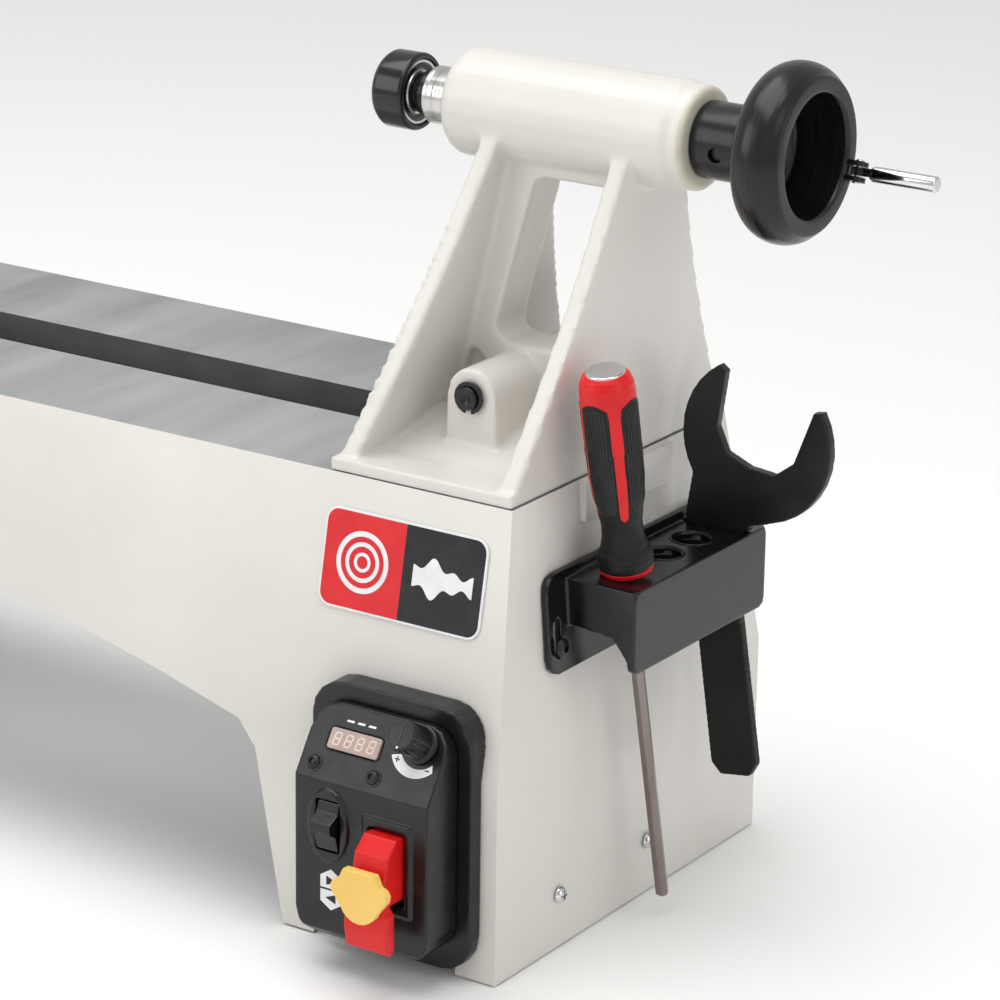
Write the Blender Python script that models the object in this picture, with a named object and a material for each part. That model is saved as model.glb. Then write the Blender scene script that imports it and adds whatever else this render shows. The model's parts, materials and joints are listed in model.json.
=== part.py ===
"""Bench-top wood lathe, about one metre long, as an assembly of separate pieces.

+X runs along the bed from the headstock to the tailstock, -Y is the operator's side, +Z is up.
Everything is drawn with X = 0 at the bed's right end, Y = 0 on the bed's centre plane and Z = 0 on
the bench. At the end one empty carries the whole machine so that the origin is the middle of its
footprint. Sizes are in metres.
"""
import math

import bmesh
import bpy
from mathutils import Matrix, Vector

# ---------------------------------------------------------------- driving dimensions
GAP = 0.0003               # clearance between touching pieces
RUN = 0.0003               # radial clearance of a turning or sliding fit
ROUND = 24                 # sides of a large turned piece
SMALL = 16                 # sides of a small turned piece

BED_LENGTH = 0.870
BED_WIDTH = 0.186          # across the two ways
BED_HEIGHT = 0.222         # bench to ways
BED_WALL = 0.009
WAY_THICKNESS = 0.014
SLOT_WIDTH = 0.038
SIDE_FLARE = 0.024         # how far each side leans out over FLARE_DROP
FLARE_DROP = 0.122
END_LEAN = 0.010
BEAM_DEPTH = 0.082         # depth of the bed at mid length
ARCH_DROP = 0.044          # how much deeper the beam is where it meets a leg
LEG_LENGTH = 0.127         # leg under the ways, along the bed
LEG_TAPER = 0.016
FOOT_LENGTH = 0.022
FOOT_RECESS = 0.012
CENTRE_HEIGHT = 0.15875    # spindle axis over the ways: half of the 317.5 mm swing

HEAD_LENGTH = 0.208
HEAD_HALF_WIDTH = 0.080
HEAD_TOP = 0.062           # casting above the spindle axis
HEAD_WALL = 0.010
SPINDLE_R = 0.0122
INDEX_TIP = 0.0182           # how far from the axis the index pin stops
NOSE_R = 0.0127            # one inch thread
SPINDLE_BORE_R = 0.0048
TAPER_BIG_R = 0.0089       # mouth of the taper sockets
TAPER_LENGTH = 0.060
BELT_WIDTH = 0.010
BELT_THICKNESS = 0.003
STEP_WIDTH = 0.020
SPINDLE_STEPS = (0.030, 0.039, 0.047)
MOTOR_STEPS = (0.036, 0.027, 0.019)
MOTOR_R = 0.052
MOTOR_LENGTH = 0.160
MOTOR_HEIGHT = 0.115       # motor axis over the bench

TAIL_LENGTH = 0.100
TAIL_RIB = 0.0095
TAIL_BASE = 0.006
BARREL_R = 0.0255
BARREL_LEFT = -0.0905
BARREL_RIGHT = 0.0406
QUILL_R = 0.01365
QUILL_LEFT = -0.107
QUILL_LENGTH = 0.127
SCREW_R = 0.006
WHEEL_R = 0.0413
WHEEL_FACE_X = 0.097
HANDLE_R = 0.00375
HANDLE_LENGTH = 0.040
CUP_R = 0.0184
CUP_LENGTH = 0.018
CAM_HEIGHT = 0.034         # clamp cam over the ways
CAM_R = 0.0055

BANJO_X = -0.495
BANJO_WIDTH = 0.046
BANJO_HEIGHT = 0.034
POST_R = 0.0079            # 5/8 inch post
REST_LENGTH = 0.150

BOX_WIDTH = 0.074
BOX_HEIGHT = 0.109
BOX_DEPTH = 0.024
PLATE_MARGIN = 0.008
PLATE_THICKNESS = 0.006

HOLDER_WIDTH = 0.118
HOLDER_DEPTH = 0.042
HOLDER_HEIGHT = 0.040
DRIVER_R = 0.0133
SHAFT_R = 0.0033
WRENCH_THICKNESS = 0.005
WRENCH_R = 0.043

# ---------------------------------------------------------------- places worked out from them
AXIS_Z = BED_HEIGHT + CENTRE_HEIGHT
HALF_WIDTH = BED_WIDTH / 2
HALF_BASE = HALF_WIDTH + SIDE_FLARE
WAY_UNDER = BED_HEIGHT - WAY_THICKNESS
MIDDLE_X = -BED_LENGTH / 2
HEAD_LEFT = -BED_LENGTH
HEAD_RIGHT = HEAD_LEFT + HEAD_LENGTH
PULLEY_X = HEAD_LEFT + 0.034     # left side of both pulleys
BELT_X = PULLEY_X + 1.5 * STEP_WIDTH
BOX_X = -0.043                   # middle of the control box
PLATE_Y = -HALF_BASE - 0.002     # back of the control plate's rim
BOX_BOTTOM = 0.017
HOLDER_TOP = BED_HEIGHT - 0.040
CLEAR = 0.05                     # how far a cutter runs past what it cuts
WELD = 0.00001                   # points this close become one after a boolean
EXACT_FAILS = ("tailstock", "rest_bar")  # the exact solver drops faces of these two

for old in list(bpy.data.objects):
    bpy.data.objects.remove(old, do_unlink=True)

LATHE = bpy.data.objects.new("lathe_frame", None)
bpy.context.scene.collection.objects.link(LATHE)


# ---------------------------------------------------------------- materials
def finish(name, colour, roughness, metallic=0.0):
    material = bpy.data.materials.new(name)
    material.use_nodes = True
    shader = material.node_tree.nodes["Principled BSDF"]
    shader.inputs["Base Color"].default_value = (*colour, 1.0)
    shader.inputs["Roughness"].default_value = roughness
    shader.inputs["Metallic"].default_value = metallic
    return material


PAINT = finish("cream_paint", (0.84, 0.83, 0.80), 0.45)
GROUND = finish("ground_iron", (0.42, 0.45, 0.44), 0.35, 1.0)
STEEL = finish("bright_steel", (0.62, 0.62, 0.60), 0.25, 1.0)
CHROME = finish("chrome", (0.80, 0.80, 0.80), 0.08, 1.0)
BLACK_METAL = finish("black_anodised", (0.02, 0.02, 0.022), 0.35, 0.3)
BLACK_STEEL = finish("black_oxide", (0.03, 0.03, 0.03), 0.40, 0.8)
BLACK_PLASTIC = finish("black_plastic", (0.02, 0.02, 0.02), 0.50)
GREY_SHAFT = finish("grey_shaft", (0.35, 0.31, 0.29), 0.35, 1.0)
RED = finish("red_plastic", (0.75, 0.03, 0.03), 0.35)
YELLOW = finish("yellow_plastic", (0.90, 0.65, 0.20), 0.45)
WINDOW = finish("display_window", (0.45, 0.36, 0.32), 0.25)
RUBBER = finish("belt_rubber", (0.03, 0.03, 0.03), 0.80)
ALUMINIUM = finish("aluminium", (0.70, 0.70, 0.70), 0.35, 1.0)


# ---------------------------------------------------------------- modelling helpers
def face_outwards(bm):
    """Turn every face of a closed bmesh outwards."""
    bmesh.ops.recalc_face_normals(bm, faces=bm.faces)
    if bm.calc_volume(signed=True) < 0:
        bmesh.ops.reverse_faces(bm, faces=bm.faces)


def make_object(name, bm, material, pivot=(0.0, 0.0, 0.0), smooth=30.0):
    """A node from a bmesh drawn in machine coordinates, with its origin at pivot."""
    face_outwards(bm)
    bmesh.ops.translate(bm, verts=bm.verts, vec=-Vector(pivot))
    mesh = bpy.data.meshes.new(name)
    bm.to_mesh(mesh)
    bm.free()
    mesh.materials.append(material)
    obj = bpy.data.objects.new(name, mesh)
    bpy.context.scene.collection.objects.link(obj)
    obj.parent = LATHE
    obj.location = pivot
    mesh.shade_smooth()
    mesh.set_sharp_from_angle(angle=math.radians(smooth))
    return obj


def is_closed(mesh):
    """True when the mesh has faces and each edge joins exactly two of them."""
    bm = bmesh.new()
    bm.from_mesh(mesh)
    closed = len(bm.faces) > 0 and all(len(edge.link_faces) == 2 for edge in bm.edges)
    bm.free()
    return closed


def evaluated(obj, tool, operation, solver):
    """The mesh that one boolean makes."""
    modifier = obj.modifiers.new(operation.lower(), "BOOLEAN")
    modifier.operation = operation
    modifier.solver = solver
    modifier.object = tool
    bpy.context.view_layer.update()
    depsgraph = bpy.context.evaluated_depsgraph_get()
    mesh = bpy.data.meshes.new_from_object(obj.evaluated_get(depsgraph))
    obj.modifiers.clear()
    bm = bmesh.new()
    bm.from_mesh(mesh)
    bmesh.ops.remove_doubles(bm, verts=bm.verts, dist=WELD)
    bmesh.ops.dissolve_degenerate(bm, edges=bm.edges, dist=WELD)
    bm.to_mesh(mesh)
    bm.free()
    return mesh


def combine(obj, tools, operation):
    """Apply one boolean for each tool bmesh, leaving a plain mesh and no cutters.

    The manifold solver steps in where the exact one leaves an open surface.
    """
    for number, bm in enumerate(tools):
        face_outwards(bm)
        bmesh.ops.translate(bm, verts=bm.verts, vec=-Vector(obj.location))
        mesh = bpy.data.meshes.new(f"{obj.name}_tool_{number}")
        bm.to_mesh(mesh)
        bm.free()
        tool = bpy.data.objects.new(mesh.name, mesh)
        bpy.context.scene.collection.objects.link(tool)
        tool.parent = LATHE
        tool.location = obj.location
        tool.hide_render = True
        tool.display_type = "WIRE"
        solver = "MANIFOLD" if obj.name in EXACT_FAILS else "EXACT"
        result = evaluated(obj, tool, operation, solver)
        if not is_closed(result):
            bpy.data.meshes.remove(result)
            result = evaluated(obj, tool, operation, "MANIFOLD")
        old = obj.data
        obj.data = result
        result.name = obj.name
        bpy.data.meshes.remove(old)
        bpy.data.objects.remove(tool, do_unlink=True)
        bpy.data.meshes.remove(mesh)
    return obj


def cut(obj, *tools):
    return combine(obj, tools, "DIFFERENCE")


def fuse(obj, *tools):
    return combine(obj, tools, "UNION")


def keep_inside(obj, *tools):
    return combine(obj, tools, "INTERSECT")


def block(low, high):
    """A box between two corners."""
    bm = bmesh.new()
    bmesh.ops.create_cube(bm, size=1.0)
    for vert in bm.verts:
        vert.co = Vector(low[i] + (vert.co[i] + 0.5) * (high[i] - low[i]) for i in range(3))
    return bm


def prism(outline, axis, low, high):
    """An outline of two coordinates, in X, Y, Z order without axis, carried from low to high along axis."""
    bm = bmesh.new()
    index = "XYZ".index(axis)

    def place(point, level):
        values = list(point)
        values.insert(index, level)
        return Vector(values)

    ends = [[bm.verts.new(place(p, level)) for p in outline] for level in (low, high)]
    count = len(outline)
    for i in range(count):
        j = (i + 1) % count
        bm.faces.new((ends[0][i], ends[0][j], ends[1][j], ends[1][i]))
    bm.faces.new(ends[0])
    bm.faces.new(ends[1])
    caps = [f for f in bm.faces if len(f.verts) > 4]
    bmesh.ops.triangulate(bm, faces=caps, ngon_method="EAR_CLIP")
    return bm


def turned(profile, axis, centre, sides=ROUND, ring=False):
    """A profile of (place along axis, radius) turned round the axis through centre.

    A ring profile is a closed loop that stays off the axis; any other starts and ends on the axis.
    """
    bm = bmesh.new()
    index = "XYZ".index(axis)
    first, second = [i for i in range(3) if i != index]
    rows = []
    for along, radius in profile:
        row = []
        for k in range(sides if radius > 0 else 1):
            angle = 2 * math.pi * k / sides
            place = Vector(centre)
            place[index] = along
            place[first] += radius * math.cos(angle)
            place[second] += radius * math.sin(angle)
            row.append(bm.verts.new(place))
        rows.append(row)
    pairs = list(zip(rows, rows[1:]))
    if ring:
        pairs.append((rows[-1], rows[0]))
    for near, far in pairs:
        for k in range(sides):
            n = (k + 1) % sides
            corners = [near[k % len(near)], near[n % len(near)], far[n % len(far)], far[k % len(far)]]
            bm.faces.new(list(dict.fromkeys(corners)))
    if not ring:
        for row, level in ((rows[0], profile[0]), (rows[-1], profile[-1])):
            if len(row) > 1:
                bm.faces.new(row)
    return bm


def rod(axis, centre, low, high, radius, sides=SMALL):
    """A plain round bar."""
    return turned([(low, radius), (high, radius)], axis, centre, sides)


def tube(axis, centre, low, high, inner, outer, sides=ROUND):
    """A plain ring."""
    loop = [(low, inner), (low, outer), (high, outer), (high, inner)]
    return turned(loop, axis, centre, sides, ring=True)


def arc(centre, radius, start, stop, steps):
    """Points on an arc in degrees, both ends included."""
    points = []
    for k in range(steps + 1):
        angle = math.radians(start + (stop - start) * k / steps)
        points.append((centre[0] + radius * math.cos(angle), centre[1] + radius * math.sin(angle)))
    return points


def rounded_outline(low, high, radius, steps=3):
    """A rectangle with round corners."""
    x0, z0 = low
    x1, z1 = high
    outline = arc((x1 - radius, z1 - radius), radius, 0, 90, steps)
    outline += arc((x0 + radius, z1 - radius), radius, 90, 180, steps)
    outline += arc((x0 + radius, z0 + radius), radius, 180, 270, steps)
    outline += arc((x1 - radius, z0 + radius), radius, 270, 360, steps)
    return outline


def turn(bm, degrees, axis, pivot):
    """Turn a bmesh about a pivot."""
    centre = Matrix.Translation(pivot)
    rotation = Matrix.Rotation(math.radians(degrees), 4, axis)
    bmesh.ops.transform(bm, matrix=centre @ rotation @ centre.inverted(), verts=bm.verts)
    return bm


def bed_side_y(z):
    """Half width of the bed casting at height z."""
    return HALF_WIDTH + SIDE_FLARE * min(1.0, (BED_HEIGHT - z) / FLARE_DROP)


def bed_end_x(z):
    """The end face's X at height z."""
    return END_LEAN * min(1.0, (BED_HEIGHT - z) / FLARE_DROP)


MOTOR_PLATE_HALF = 0.060
MOTOR_PIVOT_Y = -0.054           # the motor plate swings about a pin here, at the motor's height
MOTOR_SWING = 3.0                # degrees it lifts to slacken the belt
TENSION_R = 0.0065
TENSION_X = 2 * MIDDLE_X + LEG_LENGTH + 0.002 + GAP + TENSION_R
TENSION_Z = MOTOR_HEIGHT + 0.035


# ---------------------------------------------------------------- bed
def arch_z(x):
    """Underside of the beam, a parabola about the bed's middle."""
    reach = BED_LENGTH / 2 - LEG_LENGTH
    share = (x - MIDDLE_X) / reach
    return BED_HEIGHT - BEAM_DEPTH - ARCH_DROP * share * share


def bed_outline():
    """Side view of the bed with its two legs and the arch between them."""
    knee = 0.010
    right = [(0.0, BED_HEIGHT), (END_LEAN, BED_HEIGHT - FLARE_DROP), (END_LEAN, 0.0)]
    right += [(-LEG_LENGTH + LEG_TAPER, 0.0), (-LEG_LENGTH, arch_z(-LEG_LENGTH) - knee)]
    steps = 12
    reach = BED_LENGTH / 2 - LEG_LENGTH - knee
    arch = [MIDDLE_X + reach * (1 - 2 * k / steps) for k in range(steps + 1)]
    left = [(2 * MIDDLE_X - x, z) for x, z in reversed(right)]
    return right + [(x, arch_z(x)) for x in arch] + left


def section_outline(inset, top):
    """Cross-section of the bed, moved inwards by inset and capped at top."""
    knee = BED_HEIGHT - FLARE_DROP
    half_top = bed_side_y(top) - inset
    half_low = HALF_BASE - inset
    bottom = -CLEAR if inset else 0.0
    right = [(half_top, top), (half_low, knee), (half_low, bottom)]
    return right + [(-y, z) for y, z in reversed(right)]


def pocket(outline):
    """A hollow under the ways, held inside the bed's walls."""
    hollow = make_object("pocket", prism(outline, "Y", -HALF_BASE - CLEAR, HALF_BASE + CLEAR), PAINT)
    section = section_outline(BED_WALL, WAY_UNDER)
    keep_inside(hollow, prism(section, "X", -BED_LENGTH - CLEAR, CLEAR))
    bm = bmesh.new()
    bm.from_mesh(hollow.data)
    mesh = hollow.data
    bpy.data.objects.remove(hollow, do_unlink=True)
    bpy.data.meshes.remove(mesh)
    return bm


def build_bed():
    wall = BED_WALL
    bed = make_object("bed", prism(bed_outline(), "Y", -HALF_BASE - CLEAR, HALF_BASE + CLEAR), PAINT)
    keep_inside(bed, prism(section_outline(0.0, BED_HEIGHT), "X", -BED_LENGTH - CLEAR, CLEAR))
    inner_leg = -LEG_LENGTH + wall
    knee_z = arch_z(-LEG_LENGTH)
    leg = [(-wall, -CLEAR), (inner_leg + LEG_TAPER, -CLEAR), (inner_leg + LEG_TAPER, 0.0)]
    leg += [(inner_leg, knee_z), (inner_leg, WAY_UNDER), (-wall, WAY_UNDER)]
    far_leg = [(2 * MIDDLE_X - x, z) for x, z in leg]
    middle_low = -LEG_LENGTH - 0.002
    middle = [(middle_low, -CLEAR), (middle_low, WAY_UNDER)]
    middle += [(2 * MIDDLE_X - x, z) for x, z in reversed(middle)]
    cut(bed, pocket(leg), pocket(far_leg), pocket(middle))
    slot = block((HEAD_RIGHT - 0.04, -SLOT_WIDTH / 2, WAY_UNDER - CLEAR),
                 (-0.012, SLOT_WIDTH / 2, BED_HEIGHT + CLEAR))
    belt_way = block((PULLEY_X - 0.006, -0.062, WAY_UNDER - CLEAR),
                     (PULLEY_X + 3 * STEP_WIDTH + 0.004, 0.062, BED_HEIGHT + CLEAR))
    shaft_way = block((2 * MIDDLE_X + LEG_LENGTH - 0.02, -0.02, MOTOR_HEIGHT - 0.022),
                      (2 * MIDDLE_X + LEG_LENGTH + 0.02, 0.02, MOTOR_HEIGHT + 0.036))
    plate_way = block((-LEG_LENGTH - 0.010, -0.046, WAY_UNDER - 0.040),
                      (-LEG_LENGTH + wall + 0.010, 0.046, WAY_UNDER - 0.0001))
    cut(bed, slot, belt_way, shaft_way, plate_way)
    recess_right = -FOOT_LENGTH + END_LEAN
    recess_left = -LEG_LENGTH + LEG_TAPER + FOOT_LENGTH - 0.004
    for low, high in ((recess_left, recess_right),
                      (2 * MIDDLE_X - recess_right, 2 * MIDDLE_X - recess_left)):
        cut(bed, block((low, -HALF_BASE - CLEAR, -CLEAR), (high, HALF_BASE + CLEAR, FOOT_RECESS)))
    stop = block((-0.004, -0.038, BED_HEIGHT - 0.0195), (0.0045, 0.038, BED_HEIGHT - 0.0005))
    fuse(bed, stop)
    reach = bed_side_y(TENSION_Z) - MOTOR_PIVOT_Y
    travel = reach * math.radians(MOTOR_SWING)
    tension_slot = block((TENSION_X - TENSION_R - 0.0008, 0.07, TENSION_Z - TENSION_R - 0.001),
                         (TENSION_X + TENSION_R + 0.0008, HALF_BASE + CLEAR,
                          TENSION_Z + TENSION_R + travel + 0.001))
    cut(bed, tension_slot)
    return bed


def build_end_screws():
    """Two domed screws low on the end face, which hold the electronics inside the leg."""
    for name, y in (("end_screw_front", -0.064), ("end_screw_rear", 0.014)):
        dome = [(END_LEAN + GAP, 0.0042), (END_LEAN + 0.0015, 0.0040), (END_LEAN + 0.003, 0.0022)]
        dome.append((END_LEAN + 0.0033, 0.0))
        dome.insert(0, (END_LEAN + GAP, 0.0))
        make_object(name, turned(dome, "X", (0, y, 0.027), SMALL), CHROME)


def build_badge():
    """A thin rounded plate that lies on the leaning front face."""
    width, height, thickness = 0.090, 0.047, 0.0010
    lean = math.degrees(math.atan2(SIDE_FLARE, FLARE_DROP))
    middle_z = BED_HEIGHT - 0.038
    y = -bed_side_y(middle_z) - GAP
    outline = rounded_outline((-0.054 - width / 2, middle_z - height / 2),
                              (-0.054 + width / 2, middle_z + height / 2), 0.007)
    plate = prism(outline, "Y", y - thickness, y)
    turn(plate, -lean, "X", (-0.054, y, middle_z))
    make_object("badge_plate", plate, BLACK_PLASTIC)


# ---------------------------------------------------------------- headstock and drive
FRONT_BEARING = (HEAD_RIGHT - 0.018, HEAD_RIGHT - 0.003)
REAR_BEARING = (HEAD_LEFT + 0.004, HEAD_LEFT + 0.018)
BEARING_R = 0.026
BAY = (PULLEY_X - 0.006, PULLEY_X + 3 * STEP_WIDTH + 0.004)
DOOR_LOW = BED_HEIGHT + 0.022
DOOR_HIGH = AXIS_Z + 0.040
DOOR_THICKNESS = 0.004
SPINDLE_LEFT = HEAD_LEFT - 0.034
NOSE_LEFT = HEAD_RIGHT + 0.012
NOSE_RIGHT = HEAD_RIGHT + 0.042
MOTOR_LEFT = 2 * MIDDLE_X + LEG_LENGTH + 0.002 + GAP


def build_headstock():
    """The casting over the bed's left end, with a belt bay and a bearing wall on each side."""
    low = BED_HEIGHT + GAP
    top = AXIS_Z + HEAD_TOP
    half = HEAD_HALF_WIDTH
    section = [(-half, low), (half, low), (half, top - 0.034), (half - 0.010, top - 0.014)]
    section += [(half - 0.034, top), (-half + 0.034, top), (-half + 0.010, top - 0.014)]
    section += [(-half, top - 0.034)]
    head = make_object("headstock", prism(section, "X", HEAD_LEFT, HEAD_RIGHT), PAINT)
    fuse(head, turned([(HEAD_RIGHT - 0.01, 0.0), (HEAD_RIGHT - 0.01, 0.038), (HEAD_RIGHT + 0.006, 0.034),
                       (HEAD_RIGHT + 0.006, 0.0)], "X", (0, 0, AXIS_Z)))
    wall = HEAD_WALL
    bay = block((BAY[0], -half + wall + 0.004, low - CLEAR), (BAY[1], half - wall - 0.004, top - 0.024))
    bay_top = block((BAY[0], -half + 0.030, low), (BAY[1], half - 0.030, top - wall))
    door = block((BAY[0], -half - CLEAR, DOOR_LOW + 0.006), (BAY[1], 0.0, DOOR_HIGH - 0.006))
    chamber = block((BAY[1] + wall, -half + wall, low - CLEAR),
                    (FRONT_BEARING[0] - 0.010, half - wall, top - 0.028))
    passage = rod("X", (0, 0, AXIS_Z), HEAD_LEFT - CLEAR, HEAD_RIGHT + CLEAR, SPINDLE_R + 0.004, ROUND)
    front = rod("X", (0, 0, AXIS_Z), FRONT_BEARING[0] - GAP, HEAD_RIGHT + CLEAR, BEARING_R + GAP, ROUND)
    rear = rod("X", (0, 0, AXIS_Z), HEAD_LEFT - CLEAR, REAR_BEARING[1] + GAP, BEARING_R + GAP, ROUND)
    index_hole = rod("Y", (INDEX_X, 0, AXIS_Z), -half - CLEAR, 0.0, 0.0055 + RUN)
    cut(head, bay, bay_top, door, chamber, passage, front, rear, index_hole)
    return head


INDEX_X = BAY[1] + HEAD_WALL + 0.022


def build_bearings():
    for name, (low, high) in (("front_bearing", FRONT_BEARING), ("rear_bearing", REAR_BEARING)):
        make_object(name, tube("X", (0, 0, AXIS_Z), low, high, SPINDLE_R + GAP, BEARING_R), STEEL)


def build_spindle():
    r = SPINDLE_R
    outer = [(SPINDLE_LEFT, r), (FRONT_BEARING[1] + GAP, r), (FRONT_BEARING[1] + GAP, 0.0155)]
    outer += [(NOSE_LEFT, 0.0170), (NOSE_LEFT, NOSE_R), (NOSE_RIGHT, NOSE_R)]
    socket_end = NOSE_RIGHT - TAPER_LENGTH - 0.004
    inner = [(NOSE_RIGHT, TAPER_BIG_R), (socket_end, taper_r(TAPER_LENGTH + 0.004))]
    inner += [(socket_end, SPINDLE_BORE_R), (SPINDLE_LEFT, SPINDLE_BORE_R)]
    return make_object("spindle", turned(outer + inner, "X", (0, 0, AXIS_Z), ROUND, ring=True), STEEL,
                       (SPINDLE_LEFT, 0, AXIS_Z))


def taper_r(depth):
    """Radius of a taper socket at a depth from its mouth, one in forty on the radius."""
    return TAPER_BIG_R - depth / 40


def stepped_pulley(name, steps, bore, centre):
    """Three belt steps side by side, each with a low rim on both edges."""
    loop = [(PULLEY_X, bore)]
    rim, lip = 0.003, 0.003
    for number, radius in enumerate(steps):
        left = PULLEY_X + number * STEP_WIDTH
        right = left + STEP_WIDTH
        loop += [(left, radius + rim), (left + lip, radius), (right - lip, radius), (right, radius + rim)]
    loop.append((PULLEY_X + 3 * STEP_WIDTH, bore))
    return make_object(name, turned(loop, "X", centre, ROUND, ring=True), ALUMINIUM,
                       (PULLEY_X, *centre[1:]))


def build_pulleys():
    stepped_pulley("spindle_pulley", SPINDLE_STEPS, SPINDLE_R + GAP, (0, 0, AXIS_Z))
    stepped_pulley("motor_pulley", MOTOR_STEPS, MOTOR_SHAFT_R + GAP, (0, 0, MOTOR_HEIGHT))


MOTOR_SHAFT_R = 0.007


def belt_loop(growth):
    """Outline in Y and Z of a belt round both middle steps, moved outwards by growth."""
    upper = SPINDLE_STEPS[1] + GAP + growth
    lower = MOTOR_STEPS[1] + GAP + growth
    lean = math.degrees(math.asin((upper - lower) / (AXIS_Z - MOTOR_HEIGHT)))
    points = arc((0, AXIS_Z), upper, -lean, 180 + lean, 20)
    points += arc((0, MOTOR_HEIGHT), lower, 180 + lean, 360 - lean, 12)
    return points


def build_belt():
    bm = bmesh.new()
    rows = []
    for growth, x in ((0, BELT_X - BELT_WIDTH / 2), (BELT_THICKNESS, BELT_X - BELT_WIDTH / 2),
                      (BELT_THICKNESS, BELT_X + BELT_WIDTH / 2), (0, BELT_X + BELT_WIDTH / 2)):
        rows.append([bm.verts.new((x, y, z)) for y, z in belt_loop(growth)])
    count = len(rows[0])
    for k, row in enumerate(rows):
        other = rows[(k + 1) % 4]
        for i in range(count):
            j = (i + 1) % count
            bm.faces.new((row[i], row[j], other[j], other[i]))
    make_object("drive_belt", bm, RUBBER)


def build_motor():
    centre = (0, 0, MOTOR_HEIGHT)
    pivot = (MOTOR_LEFT, 0, MOTOR_HEIGHT)
    left, right = MOTOR_LEFT + 0.005 + GAP, MOTOR_LEFT + MOTOR_LENGTH
    body = [(left, MOTOR_SHAFT_R + 0.001), (left, MOTOR_R - 0.006), (left + 0.006, MOTOR_R)]
    body += [(right - 0.010, MOTOR_R), (right, MOTOR_R - 0.014), (right, 0.0)]
    body += [(left + 0.030, 0.0), (left + 0.030, MOTOR_SHAFT_R + 0.001)]
    body = body[-1:] + body[:-1]
    make_object("motor_body", turned(body[:-1], "X", centre), BLACK_METAL, pivot)
    plate_low, plate_high = MOTOR_LEFT, MOTOR_LEFT + 0.005
    plate = make_object("motor_plate", block((plate_low, -MOTOR_PLATE_HALF, MOTOR_HEIGHT - 0.045),
                                             (plate_high, MOTOR_PLATE_HALF, MOTOR_HEIGHT + 0.060)),
                                             BLACK_STEEL, pivot)
    cut(plate, rod("X", centre, plate_low - CLEAR, plate_high + CLEAR, MOTOR_SHAFT_R + 0.003))
    make_object("motor_shaft", rod("X", centre, PULLEY_X - 0.002, left + 0.029, MOTOR_SHAFT_R), STEEL,
                pivot)


def build_tension_lever():
    """A bar from the motor plate's rear edge out through a slot in the bed, with a grip to lift it by."""
    wall_y = bed_side_y(TENSION_Z - 0.012)
    bar = [(MOTOR_PLATE_HALF + GAP, 0.0), (MOTOR_PLATE_HALF + GAP, TENSION_R),
           (wall_y + 0.003, TENSION_R)]
    bar += [(wall_y + 0.003, 0.011), (wall_y + 0.020, 0.012), (wall_y + 0.023, 0.009),
            (wall_y + 0.023, 0.0)]
    make_object("tension_lever", turned(bar, "Y", (TENSION_X, 0, TENSION_Z), SMALL), BLACK_STEEL,
                (TENSION_X, MOTOR_PLATE_HALF, TENSION_Z))


def build_belt_door():
    low, high = BAY[0] - 0.005, BAY[1] + 0.005
    y = -HEAD_HALF_WIDTH - GAP
    outline = rounded_outline((low, DOOR_LOW), (high, DOOR_HIGH), 0.006)
    door = make_object("belt_door", prism(outline, "Y", y - DOOR_THICKNESS, y), PAINT,
                       (low, y - 0.002, DOOR_LOW))
    cut(door, rod("Y", (high - 0.009, 0, LATCH_Z), y - CLEAR, y + CLEAR, 0.003 + RUN))
    latch = make_object("door_latch", rod("Y", (high - 0.009, 0, LATCH_Z), y - DOOR_THICKNESS - 0.001,
                                          y - 0.0002, 0.003), BLACK_PLASTIC, (high - 0.009, y, LATCH_Z))
    fuse(latch, rod("Y", (high - 0.009, 0, LATCH_Z), y - DOOR_THICKNESS - 0.007, y - DOOR_THICKNESS - GAP,
                    0.008))
    wing = block((high - 0.0115, y - DOOR_THICKNESS - 0.014, LATCH_Z - 0.0075),
                 (high - 0.0065, y - DOOR_THICKNESS - 0.006, LATCH_Z + 0.0075))
    fuse(latch, wing)


LATCH_Z = (DOOR_LOW + DOOR_HIGH) / 2


def build_index_pin():
    y = -HEAD_HALF_WIDTH
    profile = [(y - 0.022, 0.0), (y - 0.022, 0.008), (y - 0.008, 0.008), (y - 0.008, 0.0055)]
    profile += [(y + 0.022, 0.0055), (y + 0.022, 0.003), (-INDEX_TIP, 0.003), (-INDEX_TIP, 0.0)]
    make_object("index_pin", turned(profile, "Y", (INDEX_X, 0, AXIS_Z), SMALL), BLACK_STEEL,
                (INDEX_X, y, AXIS_Z))


def build_spindle_handwheel():
    left = SPINDLE_LEFT - 0.006
    bore = SPINDLE_R + GAP
    loop = [(HEAD_LEFT - 0.002, bore), (HEAD_LEFT - 0.002, 0.018), (HEAD_LEFT - 0.012, 0.018)]
    loop += [(HEAD_LEFT - 0.014, 0.034), (HEAD_LEFT - 0.016, 0.041), (HEAD_LEFT - 0.026, 0.044)]
    loop += [(HEAD_LEFT - 0.036, 0.041), (left, 0.036), (left, 0.029), (left + 0.014, 0.024)]
    loop += [(left + 0.016, bore)]
    make_object("spindle_handwheel", turned(loop, "X", (0, 0, AXIS_Z), ROUND, ring=True), BLACK_METAL,
                (HEAD_LEFT, 0, AXIS_Z))


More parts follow.
